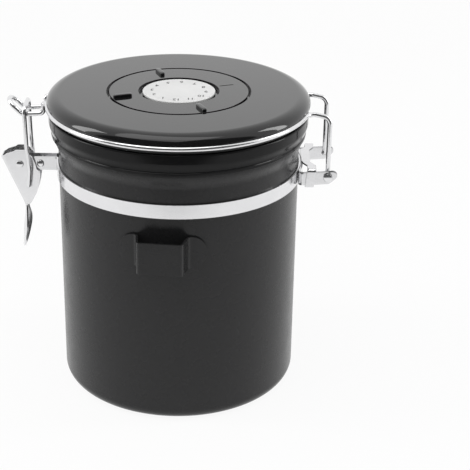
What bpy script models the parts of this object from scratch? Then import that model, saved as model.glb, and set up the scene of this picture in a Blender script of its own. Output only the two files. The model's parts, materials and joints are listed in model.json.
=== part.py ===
"""Coffee canister with a clamp band, a wire-held lid, a month ring and a one-way valve.

Units are metres and +Z is up. The origin is the middle of the flat base.
The hinge is on the +X side, the latch on the -X side and the scoop holder near -Y.
"""
import math

import bmesh
import bpy
from mathutils import Matrix, Vector

# Clearances and finishes shared by all pieces
GAP = 0.0003
RUNNING_GAP = 0.00025
OVERRUN = 0.0040
ROUND_STEPS = 44
FINE_STEPS = 28
PIN_STEPS = 16
MERGE = 0.00002
BEND_STEPS = 4
WIRE_RESOLUTION = 2
SHARP_ANGLE = math.radians(32)
END_WIDTH_SHARE = 0.18
END_SHARES = (0.0, 0.05, 0.18, 0.40, 0.70, 1.0)

# Can: a drawn steel cup with a flared neck
CAN_RADIUS = 0.0600
CAN_WALL = 0.0008
CAN_CORNER = 0.0063
CAN_HEIGHT = 0.1423
NECK_FLARE = 0.0021
NECK_HEIGHT = 0.0070
MOUTH_HEIGHT = 0.0103

# Rim collar: a moulded ring that caps the mouth
COLLAR_PROUD = 0.00215
COLLAR_HEIGHT = 0.0110
COLLAR_CAP = 0.0011
COLLAR_LIP = 0.0007
COLLAR_LIP_DEPTH = 0.0010
COLLAR_BEAD = 0.0023
COLLAR_BEAD_PROUD = 0.0003
COLLAR_FLARE = 0.0042
COLLAR_ROUND = 0.0007

# Clamp band with its two ends bent out as latch ears
BAND_DROP = 0.0315
BAND_HEIGHT = 0.0069
BAND_THICKNESS = 0.0008
BAND_BEND = 0.0012
EAR_SPREAD = 0.0027
EAR_REACH = 0.0035

# Latch: pivot in the ears, and where the bail is hooked into the lever
PIVOT_REACH = 0.0196
PIN_RADIUS = 0.00125
PIN_HEAD_RADIUS = 0.0019
PIN_HEAD_HEIGHT = 0.0006
RIVET_REACH = 0.0102
RIVET_RADIUS = 0.0011
RIVET_HEAD_RADIUS = 0.0018
RIVET_HEAD_HEIGHT = 0.0007
HOLE_ACROSS = 0.0044
HOLE_DOWN = 0.0108

# Latch lever: cheeks, back web and finger leaf, folded from one sheet
LEVER_DEPTH = 0.0189
LEVER_HEIGHT = 0.0296
LEVER_SHEET = 0.0009
LEVER_NECK_HALF = 0.0021
LEAF_HALF = 0.0070
LEAF_TIP_HALF = 0.0012
LEAF_LENGTH = 0.0232
LEAF_LEAN = 0.0022
LEAF_DISH = 0.0010
CHEEK_SHARES = (
    (-0.455, 0.118), (-0.354, 0.176), (-0.143, 0.220), (-0.101, 0.247), (0.122, 0.247),
    (0.354, 0.108), (0.407, 0.007), (0.444, -0.098), (0.508, -0.125), (0.524, -0.196),
    (0.487, -0.345), (0.423, -0.510), (0.302, -0.662), (0.243, -0.720), (0.164, -0.736),
    (0.070, -0.668))
WEB_ROW_SHARES = (0.0, 0.5, 0.86, 1.0)
NECK_ROW_SHARE = 0.55
LEAF_SHARES = ((0.12, 0.45), (0.26, 0.82), (0.42, 1.0), (0.60, 0.97), (0.78, 0.72), (0.92, 0.38))
LEAF_ROW_SHARES = (-1.0, -0.5, 0.0, 0.5, 1.0)
WEB_TOP_SHARES = (-0.476, 0.128)
WEB_FOOT_SHARES = (0.058, -0.672)
NECK_SHARES = (0.106, -0.800)

# Bail: the wire that pulls the lid down
BAIL_WIRE = 0.0011
BAIL_HALF = 0.0078
BAIL_TOP_INWARD = 0.0040
BAIL_RISE = 0.0035
BAIL_BEND = 0.0030
BAIL_HOOK_BEND = 0.0017
BAIL_BOW = 0.0010
BAIL_SWEEP = 0.0120
BAIL_BOW_SHARES = ((0.21, 1.0), (0.50, 0.15))

# Lid wire: ring round the lid, hook on the latch side, legs on the hinge side
LID_WIRE = 0.0012
RING_STEP = math.radians(8)
HOOK_HALF = 0.0050
HOOK_OUT = 0.0018
HOOK_DROP = 0.0054
HOOK_FALL = 0.0005
HOOK_REACH = 0.0108
HOOK_TIP_REACH = 0.0077
HOOK_TIP_RISE = 0.0071
HOOK_BEND = 0.0023
LEG_TOP_BEND = 0.0042
LEG_FOOT_BEND = 0.0022
LEG_SIDE_BEND = 0.0050
LEG_PROUD = 0.0014
LEG_HEAD_RADIUS = 0.0022
LEG_HEAD_COVER = 0.0004

# Hinge bracket on the band, with a keeper strip over its ears
HINGE_REACH = 0.0140
HINGE_RISE = 0.00105
HINGE_EAR_Y = 0.0170
HINGE_SHEET = 0.0010
HINGE_EAR_REACH = 0.0046
HINGE_EAR_HEIGHT = 0.0069
HINGE_EAR_SHARES = ((1.0, 0.12, 0.50), (0.62, -0.10, 0.66), (0.14, -0.36, 0.64))
HINGE_BEND = 0.0020
KEEPER_WIDTH = 0.0044
KEEPER_SHEET = 0.0009
KEEPER_REACH = 0.0034
KEEPER_EAR_REACH = 0.0060
KEEPER_LEAN = 0.0010
KEEPER_CLEAR = 0.0012
KEEPER_DROP = 0.0090
KEEPER_BEND = 0.0011
KEEPER_STEP_Y = (0.0130, 0.0080)
KEEPER_STEP_BEND = 0.0040

# Scoop holder: a hat-shaped strap spot-welded to the can
HOLDER_TURN = math.radians(-5)
HOLDER_SHEET = 0.0010
HOLDER_DEPTH = 0.0092
HOLDER_FRONT_HALF = 0.0107
HOLDER_FOOT_HALF = 0.0122
HOLDER_REACH = 0.0215
HOLDER_DROP = 0.0253
HOLDER_HEIGHT = 0.0161
HOLDER_BEND = 0.0013

# Lid cover: the domed top with a groove for the wire and a well for the month ring
LID_RISE = 0.0046
LID_PROUD = 0.00075
LID_SHOULDER = 0.0062
LID_SKIN = 0.0020
GROOVE_DEPTH = 0.0019
LID_WALL = 0.0024
WELL_DEPTH = 0.0030
WELL_FLOOR = 0.0012
HUB_WELL_DEPTH = 0.0025
BOSS_RADIUS = 0.0045
BOSS_LENGTH = 0.0031

# Month ring, its hub, the dial plate and the hub screw
DATE_RADIUS = 0.0345
DATE_GAP = 0.0009
DIAL_MOUTH = 0.0200
DIAL_FUNNEL = 0.0009
DIAL_RADIUS = 0.0179
DIAL_DEPTH = 0.0001
DIAL_PLATE = 0.0011
HUB_FLANGE = 0.0004
HUB_STEM = 0.0066
DATE_FLANGE = 0.0007
DATE_FLANGE_INNER = 0.0090
RIB_INNER = 0.0222
RIB_OUTER = 0.0339
RIB_HALF = 0.0013
RIB_HEIGHT = 0.0017
RIB_ROUND = 0.0006
RIB_ANGLES = tuple(math.radians(angle) for angle in (112, 202, 294))
MARK_ANGLE = math.radians(21.3)
MARK_INNER = 0.0213
MARK_OUTER = 0.0287
MARK_WIDTH = 0.0008
MARK_DEPTH = 0.0004
SCREW_RADIUS = 0.0012
SCREW_HEAD_RADIUS = 0.0026
SCREW_HEAD_HEIGHT = 0.0014
SCREW_LENGTH = 0.0072

# Lid insert, gasket and valve
INSERT_PROUD = 0.0007
INSERT_FLANGE = 0.0006
PLUG_CLEARANCE = 0.0027
PLUG_DEPTH = 0.0071
PLUG_CURVE = 0.0136
PLUG_SKIN = 0.0016
PLUG_SHARES = ((0.12, 0.18), (0.26, 0.40), (0.48, 0.72), (0.77, 0.96))
GASKET_INSET = 0.0006
GASKET_HEIGHT = 0.0008
VALVE_WALL_RADIUS = 0.0112
VALVE_WALL = 0.0010
VALVE_WALL_HEIGHT = 0.0012
VALVE_DISC_RADIUS = 0.0086
VALVE_DISC_HEIGHT = 0.0007
VALVE_LIFT = 0.0008
CAP_ROOF = 0.0007
CAP_EYE_RADIUS = 0.0016
CAP_EYE_CIRCLE = 0.0062
PORT_RADIUS = 0.0012
PORT_CIRCLE = 0.0050
PORT_COUNT = 6
SCREEN_RADIUS = 0.0125
SCREEN_HEIGHT = 0.0006
SCREEN_SLOT = 0.0011
SCREEN_SLOT_PITCH = 0.0026
SCREEN_SLOT_SHARES = (0.86, 1.0, 1.0, 1.0, 0.86)
SCREEN_SLOT_LENGTH = 0.0150

# Heights and places that follow from the sizes above
NECK_END = CAN_HEIGHT - MOUTH_HEIGHT
NECK_START = NECK_END - NECK_HEIGHT
MOUTH_RADIUS = CAN_RADIUS + NECK_FLARE
COLLAR_RADIUS = MOUTH_RADIUS + COLLAR_PROUD
LIP_RADIUS = MOUTH_RADIUS - CAN_WALL - GAP - COLLAR_LIP
BAND_BOTTOM = CAN_HEIGHT - BAND_DROP
BAND_MIDDLE = BAND_BOTTOM + BAND_HEIGHT / 2
HOLDER_BOTTOM = BAND_BOTTOM - HOLDER_DROP
PIVOT_X = -CAN_RADIUS - PIVOT_REACH
PIVOT_Z = BAND_MIDDLE
HINGE_X = CAN_RADIUS + HINGE_REACH
HINGE_Z = BAND_MIDDLE + HINGE_RISE
RIVET_X = PIVOT_X + RIVET_REACH
BAIL_FOOT_X = PIVOT_X + HOLE_ACROSS
BAIL_FOOT_Z = PIVOT_Z - HOLE_DOWN
EAR_OUTSIDE = EAR_SPREAD + BAND_THICKNESS / 2
CHEEK_INSIDE = EAR_OUTSIDE + GAP + GAP
CHEEK_OUTSIDE = CHEEK_INSIDE + LEVER_SHEET
RIM_TOP = CAN_HEIGHT + GAP + COLLAR_CAP
COLLAR_BOTTOM = RIM_TOP - COLLAR_HEIGHT
GASKET_BOTTOM = RIM_TOP + GAP
GASKET_TOP = GASKET_BOTTOM + GASKET_HEIGHT
INSERT_FLANGE_BOTTOM = GASKET_TOP + GAP / 2
INSERT_FLANGE_TOP = INSERT_FLANGE_BOTTOM + INSERT_FLANGE
LID_WALL_FOOT = INSERT_FLANGE_TOP + RUNNING_GAP
RING_Z = INSERT_FLANGE_TOP + GAP / 2 + LID_WIRE
LID_EDGE_Z = RING_Z + LID_WIRE + GAP
LID_TOP = LID_EDGE_Z + LID_RISE
LID_RADIUS = COLLAR_RADIUS + LID_PROUD
GROOVE_RADIUS = LID_RADIUS - GROOVE_DEPTH
RING_RADIUS = GROOVE_RADIUS + GAP + LID_WIRE
INSERT_FLANGE_RADIUS = GROOVE_RADIUS + INSERT_PROUD
GASKET_RADIUS = INSERT_FLANGE_RADIUS - GASKET_INSET
PLUG_RADIUS = LIP_RADIUS - PLUG_CLEARANCE
PLUG_FLAT_RADIUS = PLUG_RADIUS - PLUG_CURVE
PLUG_BOTTOM = GASKET_TOP - PLUG_DEPTH
SEAT_TOP = PLUG_BOTTOM + PLUG_SKIN
HOOK_Z = RING_Z - HOOK_DROP
HOOK_TIP_Z = HOOK_Z + HOOK_TIP_RISE
HOOK_DROP_X = RING_RADIUS + HOOK_OUT
HOOK_BEND_X = HOOK_DROP_X + HOOK_REACH
HOOK_TIP_X = HOOK_BEND_X + HOOK_TIP_REACH
BAIL_TOP_X = PIVOT_X + BAIL_TOP_INWARD
BAIL_TOP_Z = HOOK_Z + BAIL_RISE
BAND_OUTSIDE = CAN_RADIUS + GAP + BAND_THICKNESS
BRACKET_MIDDLE = BAND_OUTSIDE + GAP + HINGE_SHEET / 2
LEG_Y = HINGE_EAR_Y - HINGE_SHEET / 2 - RUNNING_GAP - LEG_FOOT_BEND + LID_WIRE / 2
WELL_RADIUS = DATE_RADIUS + DATE_GAP
WELL_TOP = LID_TOP - WELL_DEPTH
DIAL_TOP = LID_TOP - DIAL_DEPTH
HUB_TOP = DIAL_TOP - DIAL_PLATE - GAP / 3
HUB_FLANGE_BOTTOM = HUB_TOP - HUB_FLANGE
HUB_WELL_RADIUS = HUB_STEM + GAP
HUB_WELL_FLOOR = WELL_TOP - HUB_WELL_DEPTH


def clear_scene():
    for existing in list(bpy.data.objects):
        bpy.data.objects.remove(existing, do_unlink=True)


def make_collection(name):
    collection = bpy.data.collections.new(name)
    bpy.context.scene.collection.children.link(collection)
    return collection


def make_material(name, colour, roughness, metallic):
    made = bpy.data.materials.new(name)
    made.use_nodes = True
    shader = made.node_tree.nodes["Principled BSDF"]
    shader.inputs["Base Color"].default_value = (*colour, 1.0)
    shader.inputs["Roughness"].default_value = roughness
    shader.inputs["Metallic"].default_value = metallic
    return made


def keep(made, material_name):
    """Link a piece to the canister, give it its finish and shade it smooth."""
    PARTS.objects.link(made)
    made.data.materials.clear()
    made.data.materials.append(MATERIALS[material_name])
    made.data.shade_smooth()
    return made


def keep_tool(made):
    """Link a shape that only cuts or joins."""
    TOOLS.objects.link(made)
    made.hide_render = True
    made.display_type = "WIRE"
    return made


def mesh_object(name, mesh_builder):
    """Make an unlinked object from a function that fills a bmesh."""
    mesh = bpy.data.meshes.new(name)
    working = bmesh.new()
    mesh_builder(working)
    working.to_mesh(mesh)
    working.free()
    return bpy.data.objects.new(name, mesh)


def turned(name, profile, steps, is_loop):
    """Turn a profile of (radius, height) points about the Z axis."""
    def build(working):
        points = [working.verts.new((radius, 0, height)) for radius, height in profile]
        pairs = list(zip(points, points[1:]))
        if is_loop:
            pairs.append((points[-1], points[0]))
        for first, second in pairs:
            working.edges.new((first, second))

    made = mesh_object(name, build)
    screw = made.modifiers.new("turn", "SCREW")
    screw.steps = steps
    screw.render_steps = steps
    screw.use_merge_vertices = True
    screw.merge_threshold = MERGE
    return made


def arc(centre, radius, start, end, steps):
    """Points (radius, height) on a circular arc, angles in degrees from +X."""
    points = []
    for step in range(steps + 1):
        angle = math.radians(start + (end - start) * step / steps)
        points.append((centre[0] + radius * math.cos(angle), centre[1] + radius * math.sin(angle)))
    return points


def smooth_step(share):
    share = min(max(share, 0.0), 1.0)
    return share * share * (3 - 2 * share)


def rounded_path(corners, bends, steps):
    """A line through 3-D corners, each inner one rounded to its bend radius."""
    corners = [Vector(corner) for corner in corners]
    points = [corners[0]]
    for index in range(1, len(corners) - 1):
        before = (corners[index] - corners[index - 1]).normalized()
        after = (corners[index + 1] - corners[index]).normalized()
        turn = before.angle(after)
        inset = bends[index - 1] * math.tan(turn / 2)
        start = corners[index] - before * inset
        axis = before.cross(after).normalized()
        centre = start + axis.cross(before) * bends[index - 1]
        for step in range(steps + 1):
            spin = Matrix.Rotation(turn * step / steps, 3, axis)
            points.append(centre + spin @ (start - centre))
    points.append(corners[-1])
    return points


def wire(name, points, radius):
    """A round wire along the points, as a closed mesh."""
    data = bpy.data.curves.new(name, "CURVE")
    data.dimensions = "3D"
    data.bevel_depth = radius
    data.bevel_resolution = WIRE_RESOLUTION
    data.use_fill_caps = True
    spline = data.splines.new("POLY")
    spline.points.add(len(points) - 1)
    for target, point in zip(spline.points, points):
        target.co = (*point, 1)
    return curve_to_mesh(name, data)


def plate(name, outline, thickness, to_world):
    """A flat outline, thickened evenly about its own plane and then placed."""
    data = bpy.data.curves.new(name, "CURVE")
    data.dimensions = "2D"
    data.fill_mode = "BOTH"
    data.extrude = thickness / 2
    spline = data.splines.new("POLY")
    spline.points.add(len(outline) - 1)
    for target, point in zip(spline.points, outline):
        target.co = (point[0], point[1], 0, 1)
    spline.use_cyclic_u = True
    made = curve_to_mesh(name, data)
    made.data.transform(to_world)
    return made


def curve_to_mesh(name, data):
    """Replace a curve by its evaluated mesh, with the caps welded on."""
    guide = bpy.data.objects.new(name + "_guide", data)
    bpy.context.scene.collection.objects.link(guide)
    bpy.context.view_layer.update()
    evaluated = guide.evaluated_get(bpy.context.evaluated_depsgraph_get())
    mesh = bpy.data.meshes.new_from_object(evaluated)
    mesh.name = name
    made = bpy.data.objects.new(name, mesh)
    made.matrix_world = guide.matrix_world
    bpy.data.objects.remove(guide, do_unlink=True)
    working = bmesh.new()
    working.from_mesh(mesh)
    bmesh.ops.remove_doubles(working, verts=working.verts, dist=MERGE)
    bmesh.ops.recalc_face_normals(working, faces=working.faces)
    working.to_mesh(mesh)
    working.free()
    return made


def ribbon(name, rows, thickness):
    """A bent sheet: each row holds the two edge points of the strip, and Solidify thickens it."""
    def build(working):
        pairs = [[working.verts.new(point) for point in row] for row in rows]
        for first, second in zip(pairs, pairs[1:]):
            for left in range(len(first) - 1):
                corners = (first[left], second[left], second[left + 1], first[left + 1])
                working.faces.new(corners)

    made = mesh_object(name, build)
    sheet = made.modifiers.new("sheet", "SOLIDIFY")
    sheet.thickness = thickness
    sheet.offset = 0
    sheet.use_even_offset = True
    return made


def cylinder(name, radius, start, end, steps=PIN_STEPS):
    """A closed cylinder between two points."""
    start, end = Vector(start), Vector(end)
    span = end - start
    turn = span.to_track_quat("Z", "Y").to_matrix().to_4x4()
    place = Matrix.Translation((start + end) / 2) @ turn

    def build(working):
        bmesh.ops.create_cone(working, cap_ends=True, segments=steps, radius1=radius,
                              radius2=radius, depth=span.length, matrix=place)

    return mesh_object(name, build)


def box(name, low, high):
    """A box between two corners."""
    low, high = Vector(low), Vector(high)
    size = Matrix.Diagonal((*(high - low), 1))
    place = Matrix.Translation((low + high) / 2) @ size
    return mesh_object(name, lambda working: bmesh.ops.create_cube(working, size=1, matrix=place))


def joined(name, pieces):
    """One object that holds the meshes of several separate, unlinked ones."""
    working = bmesh.new()
    for piece in pieces:
        copy = piece.data.copy()
        copy.transform(piece.matrix_world)
        working.from_mesh(copy)
        bpy.data.meshes.remove(copy)
        bpy.data.objects.remove(piece, do_unlink=True)
    mesh = bpy.data.meshes.new(name)
    working.to_mesh(mesh)
    working.free()
    return bpy.data.objects.new(name, mesh)


def combine(made, tool, operation):
    """Cut a piece by a tool, or join the tool to it."""
    keep_tool(tool)
    boolean = made.modifiers.new(tool.name, "BOOLEAN")
    boolean.operation = operation
    boolean.object = tool
    boolean.solver = "EXACT"
    return made


# Can, collar, band and holder

def neck_radius(height):
    """Outer radius of the flared neck at a height."""
    share = (height - NECK_START) / (NECK_END - NECK_START)
    return CAN_RADIUS + (MOUTH_RADIUS - CAN_RADIUS) * smooth_step(share)


def make_can():
    neck = [NECK_START + (NECK_END - NECK_START) * step / 4 for step in range(5)]
    inner_corner = CAN_CORNER - CAN_WALL
    profile = [(0, CAN_WALL)]
    profile += arc((CAN_RADIUS - CAN_CORNER, CAN_CORNER), inner_corner, -90, 0, 4)
    profile += [(neck_radius(height) - CAN_WALL, height) for height in neck]
    profile += [(MOUTH_RADIUS - CAN_WALL, CAN_HEIGHT), (MOUTH_RADIUS, CAN_HEIGHT)]
    profile += [(neck_radius(height), height) for height in reversed(neck)]
    profile += arc((CAN_RADIUS - CAN_CORNER, CAN_CORNER), CAN_CORNER, 0, -90, 4)
    profile.append((0, 0))
    return keep(turned("can_body", profile, ROUND_STEPS, False), "satin black steel")


def make_collar():
    inner = MOUTH_RADIUS + GAP
    lip = LIP_RADIUS + COLLAR_LIP
    bead_top = COLLAR_BOTTOM + COLLAR_BEAD
    foot = inner + COLLAR_BEAD_PROUD
    flare = []
    for step in range(5):
        share = 1 - step / 4
        radius = foot + COLLAR_BEAD_PROUD + (COLLAR_RADIUS - foot - COLLAR_BEAD_PROUD) * smooth_step(share)
        flare.append((radius, bead_top + COLLAR_FLARE * share))
    profile = [(lip - COLLAR_LIP, RIM_TOP), (COLLAR_RADIUS - COLLAR_ROUND, RIM_TOP),
               (COLLAR_RADIUS, RIM_TOP - COLLAR_ROUND)]
    profile += flare
    profile += [(foot, bead_top - COLLAR_BEAD_PROUD),
                (foot + COLLAR_BEAD_PROUD, COLLAR_BOTTOM + COLLAR_BEAD_PROUD),
                (foot, COLLAR_BOTTOM), (inner, COLLAR_BOTTOM),
                (inner, CAN_HEIGHT + GAP), (lip, CAN_HEIGHT + GAP),
                (lip, CAN_HEIGHT - COLLAR_LIP_DEPTH),
                (lip - COLLAR_LIP, CAN_HEIGHT - COLLAR_LIP_DEPTH)]
    return keep(turned("rim_collar", profile, ROUND_STEPS, True), "gloss black plastic")


def end_rounded_rows(path, middle, half_height, end_length):
    """Rows of a level strip whose two ends are drawn in to half circles."""
    distances = [0.0]
    for first, second in zip(path, path[1:]):
        distances.append(distances[-1] + (second - first).length)
    rows = []
    for point, distance in zip(path, distances):
        inward = min(distance, distances[-1] - distance)
        share = min(inward / end_length, 1.0)
        half = half_height * max(math.sqrt(max(1 - (1 - share) ** 2, 0.0)), END_WIDTH_SHARE)
        rows.append([(point.x, point.y, middle - half), (point.x, point.y, middle + half)])
    return rows


def end_points(tip, root, length):
    """Points from a strip's tip towards its root, close together where the end is round."""
    along = (root - tip).normalized()
    return [tip + along * length * share for share in END_SHARES]


def make_band():
    middle = CAN_RADIUS + GAP + BAND_THICKNESS / 2
    reach = -PIVOT_X + EAR_REACH
    bend_angle = math.asin((EAR_SPREAD + BAND_BEND) / (middle + BAND_BEND))
    bend_centre = Vector((-(middle + BAND_BEND) * math.cos(bend_angle), -EAR_SPREAD - BAND_BEND, 0))
    near = end_points(Vector((-reach, -EAR_SPREAD, 0)), Vector((0, -EAR_SPREAD, 0)), BAND_HEIGHT / 2)
    for step in range(BEND_STEPS + 1):
        share = step / BEND_STEPS
        angle = math.radians(90) * (1 - share) - bend_angle * share
        near.append(bend_centre + Vector((math.cos(angle), math.sin(angle), 0)) * BAND_BEND)
    sweep = []
    for step in range(1, ROUND_STEPS):
        angle = math.pi + bend_angle + (2 * math.pi - 2 * bend_angle) * step / ROUND_STEPS
        sweep.append(Vector((math.cos(angle), math.sin(angle), 0)) * middle)
    far = [Vector((point.x, -point.y, 0)) for point in reversed(near)]
    rows = end_rounded_rows(near + sweep + far, BAND_MIDDLE, BAND_HEIGHT / 2, BAND_HEIGHT / 2)
    made = ribbon("clamp_band", rows, BAND_THICKNESS)
    side = EAR_SPREAD + OVERRUN
    holes = joined("band_holes", [
        cylinder("pin_hole", PIN_RADIUS + RUNNING_GAP, (PIVOT_X, -side, PIVOT_Z), (PIVOT_X, side, PIVOT_Z)),
        cylinder("rivet_hole", RIVET_RADIUS + RUNNING_GAP, (RIVET_X, -side, PIVOT_Z),
                 (RIVET_X, side, PIVOT_Z))])
    combine(made, holes, "DIFFERENCE")
    return keep(made, "polished steel")


def headed_pin(name, radius, head_radius, head_height, half, x, z):
    """A pin along Y with a flat head beyond the half length at each end."""
    tip = half + head_height
    chamfer = head_height / 2
    profile = [(0, tip), (head_radius - chamfer, tip), (head_radius, tip - chamfer), (head_radius, half),
               (radius, half), (radius, -half), (head_radius, -half), (head_radius, chamfer - tip),
               (head_radius - chamfer, -tip), (0, -tip)]
    made = turned(name, profile, PIN_STEPS, False)
    made.matrix_world = Matrix.Translation((x, 0, z)) @ Matrix.Rotation(math.radians(90), 4, "X")
    return keep(made, "polished steel")


def make_holder():
    """A strap that lies on the can, stands off it as a loop and lies on it again."""
    skin = CAN_RADIUS + GAP + HOLDER_SHEET / 2
    front = CAN_RADIUS + HOLDER_DEPTH
    foot_turn = HOLDER_FOOT_HALF / skin
    reach_turn = HOLDER_REACH / skin
    half = HOLDER_HEIGHT / 2
    foot = []
    for share in END_SHARES:
        angle = reach_turn - half / skin * share
        foot.append(Vector((math.sin(angle), -math.cos(angle), 0)) * skin)
    corners = [foot[-1], Vector((math.sin(foot_turn), -math.cos(foot_turn), 0)) * skin,
               Vector((HOLDER_FRONT_HALF, -front, 0)), Vector((-HOLDER_FRONT_HALF, -front, 0))]
    corners += [Vector((-point.x, point.y, 0)) for point in reversed(corners[:2])]
    strap = rounded_path(corners, [HOLDER_BEND] * 4, BEND_STEPS)
    path = foot[:-1] + strap + [Vector((-point.x, point.y, 0)) for point in reversed(foot[:-1])]
    turn = Matrix.Rotation(HOLDER_TURN, 3, "Z")
    path = [turn @ point for point in path]
    rows = end_rounded_rows(path, HOLDER_BOTTOM + half, half, half)
    return keep(ribbon("scoop_holder", rows, HOLDER_SHEET), "satin black steel")


# Hinge

def make_hinge_bracket():
    middle = BRACKET_MIDDLE
    ear = [Vector((HINGE_X + HINGE_EAR_REACH * out, -HINGE_EAR_Y, 0)) for out, low, high in HINGE_EAR_SHARES]
    heights = [(low, high) for out, low, high in HINGE_EAR_SHARES]
    root_turn = math.asin(HINGE_EAR_Y / middle)
    web = []
    for step in range(7):
        angle = root_turn * (step / 3 - 1)
        web.append(Vector((math.cos(angle), math.sin(angle), 0)) * middle)
    near = ear[:-1] + rounded_path([ear[-1], web[0], web[1]], [HINGE_BEND], BEND_STEPS)[:-1]
    path = near + web[1:-1] + [Vector((point.x, -point.y, 0)) for point in reversed(near)]
    shares = heights + [(-0.5, 0.5)] * (len(path) - 2 * len(heights)) + heights[::-1]
    rows = []
    for point, (low, high) in zip(path, shares):
        rows.append([(point.x, point.y, BAND_MIDDLE + HINGE_EAR_HEIGHT * low),
                     (point.x, point.y, BAND_MIDDLE + HINGE_EAR_HEIGHT * high)])
    made = ribbon("hinge_bracket", rows, HINGE_SHEET)
    side = HINGE_EAR_Y + OVERRUN
    combine(made, cylinder("hinge_holes", LID_WIRE + RUNNING_GAP, (HINGE_X, -side, HINGE_Z),
                           (HINGE_X, side, HINGE_Z)), "DIFFERENCE")
    return keep(made, "polished steel")


def make_keeper():
    """A strip that lies over both hinge ears and is folded down outside them."""
    side = HINGE_EAR_Y + HINGE_SHEET / 2 + GAP + KEEPER_SHEET / 2
    top = BAND_MIDDLE + HINGE_EAR_HEIGHT / 2 + KEEPER_CLEAR + KEEPER_SHEET / 2
    ear_x = CAN_RADIUS + KEEPER_EAR_REACH
    corners = [(ear_x - KEEPER_LEAN, -side, top - KEEPER_DROP), (ear_x, -side, top),
               (ear_x, -KEEPER_STEP_Y[0], top), (CAN_RADIUS + KEEPER_REACH, -KEEPER_STEP_Y[1], top)]
    corners += [(x, -y, z) for x, y, z in reversed(corners)]
    bends = [KEEPER_BEND, KEEPER_STEP_BEND, KEEPER_STEP_BEND]
    path = rounded_path(corners, bends + bends[::-1], BEND_STEPS)
    half = KEEPER_WIDTH / 2
    rows = [[(point.x - half, point.y, point.z), (point.x + half, point.y, point.z)] for point in path]
    return keep(ribbon("hinge_keeper", rows, KEEPER_SHEET), "polished steel")


def make_lid_wire():
    """One wire: near leg, front of the ring, hook, back of the ring, far leg."""
    head_foot = HINGE_EAR_Y + HINGE_SHEET / 2 + GAP
    head_tip = head_foot - GAP + LEG_PROUD
    end_y = head_tip - LEG_HEAD_COVER
    side_y = LEG_Y + LEG_SIDE_BEND
    side_x = math.sqrt((RING_RADIUS + LEG_SIDE_BEND) ** 2 - side_y ** 2)
    side_turn = math.atan2(side_y, side_x)
    leg = rounded_path([(HINGE_X, -end_y, HINGE_Z), (HINGE_X, -LEG_Y, HINGE_Z),
                        (HINGE_X, -LEG_Y, RING_Z), (side_x, -LEG_Y, RING_Z)],
                       [LEG_FOOT_BEND, LEG_TOP_BEND], BEND_STEPS)
    bend = []
    for step in range(1, BEND_STEPS + 1):
        angle = math.radians(90) + (math.radians(90) - side_turn) * step / BEND_STEPS
        bend.append(Vector((side_x + LEG_SIDE_BEND * math.cos(angle),
                            LEG_SIDE_BEND * math.sin(angle) - side_y, RING_Z)))
    hook_turn = math.asin((HOOK_HALF + HOOK_BEND) / RING_RADIUS)
    sweep_angle = math.pi - side_turn - hook_turn
    count = round(sweep_angle / RING_STEP)
    sweep = []
    for step in range(1, count + 1):
        angle = -side_turn - sweep_angle * step / count
        sweep.append(Vector((RING_RADIUS * math.cos(angle), RING_RADIUS * math.sin(angle), RING_Z)))
    near = leg + bend + sweep
    near_hook = [near[-1], Vector((-HOOK_DROP_X, -HOOK_HALF, RING_Z)),
                 Vector((-HOOK_DROP_X, -HOOK_HALF, HOOK_Z)),
                 Vector((-HOOK_BEND_X, -HOOK_HALF, HOOK_Z - HOOK_FALL)),
                 Vector((-HOOK_TIP_X, -HOOK_HALF, HOOK_TIP_Z))]
    mirror = Matrix.Diagonal((1, -1, 1))
    corners = near_hook + [mirror @ corner for corner in reversed(near_hook)]
    bends = [LID_WIRE, HOOK_BEND, HOOK_BEND, HOOK_HALF - LID_WIRE / 4]
    hook = rounded_path(corners, bends + bends[::-1], BEND_STEPS)
    path = near[:-1] + hook + [mirror @ point for point in reversed(near[:-1])]
    made = wire("lid_wire", path, LID_WIRE)
    heads = [cylinder("wire_head", LEG_HEAD_RADIUS, (HINGE_X, side * head_foot, HINGE_Z),
                      (HINGE_X, side * head_tip, HINGE_Z)) for side in (-1, 1)]
    combine(made, joined("wire_heads", heads), "UNION")
    return keep(made, "polished steel")


# Latch

def lever_point(shares):
    """A point of the lever from its shares, measured from the pivot."""
    return Vector((PIVOT_X + shares[0] * LEVER_DEPTH, PIVOT_Z + shares[1] * LEVER_HEIGHT))


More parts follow.
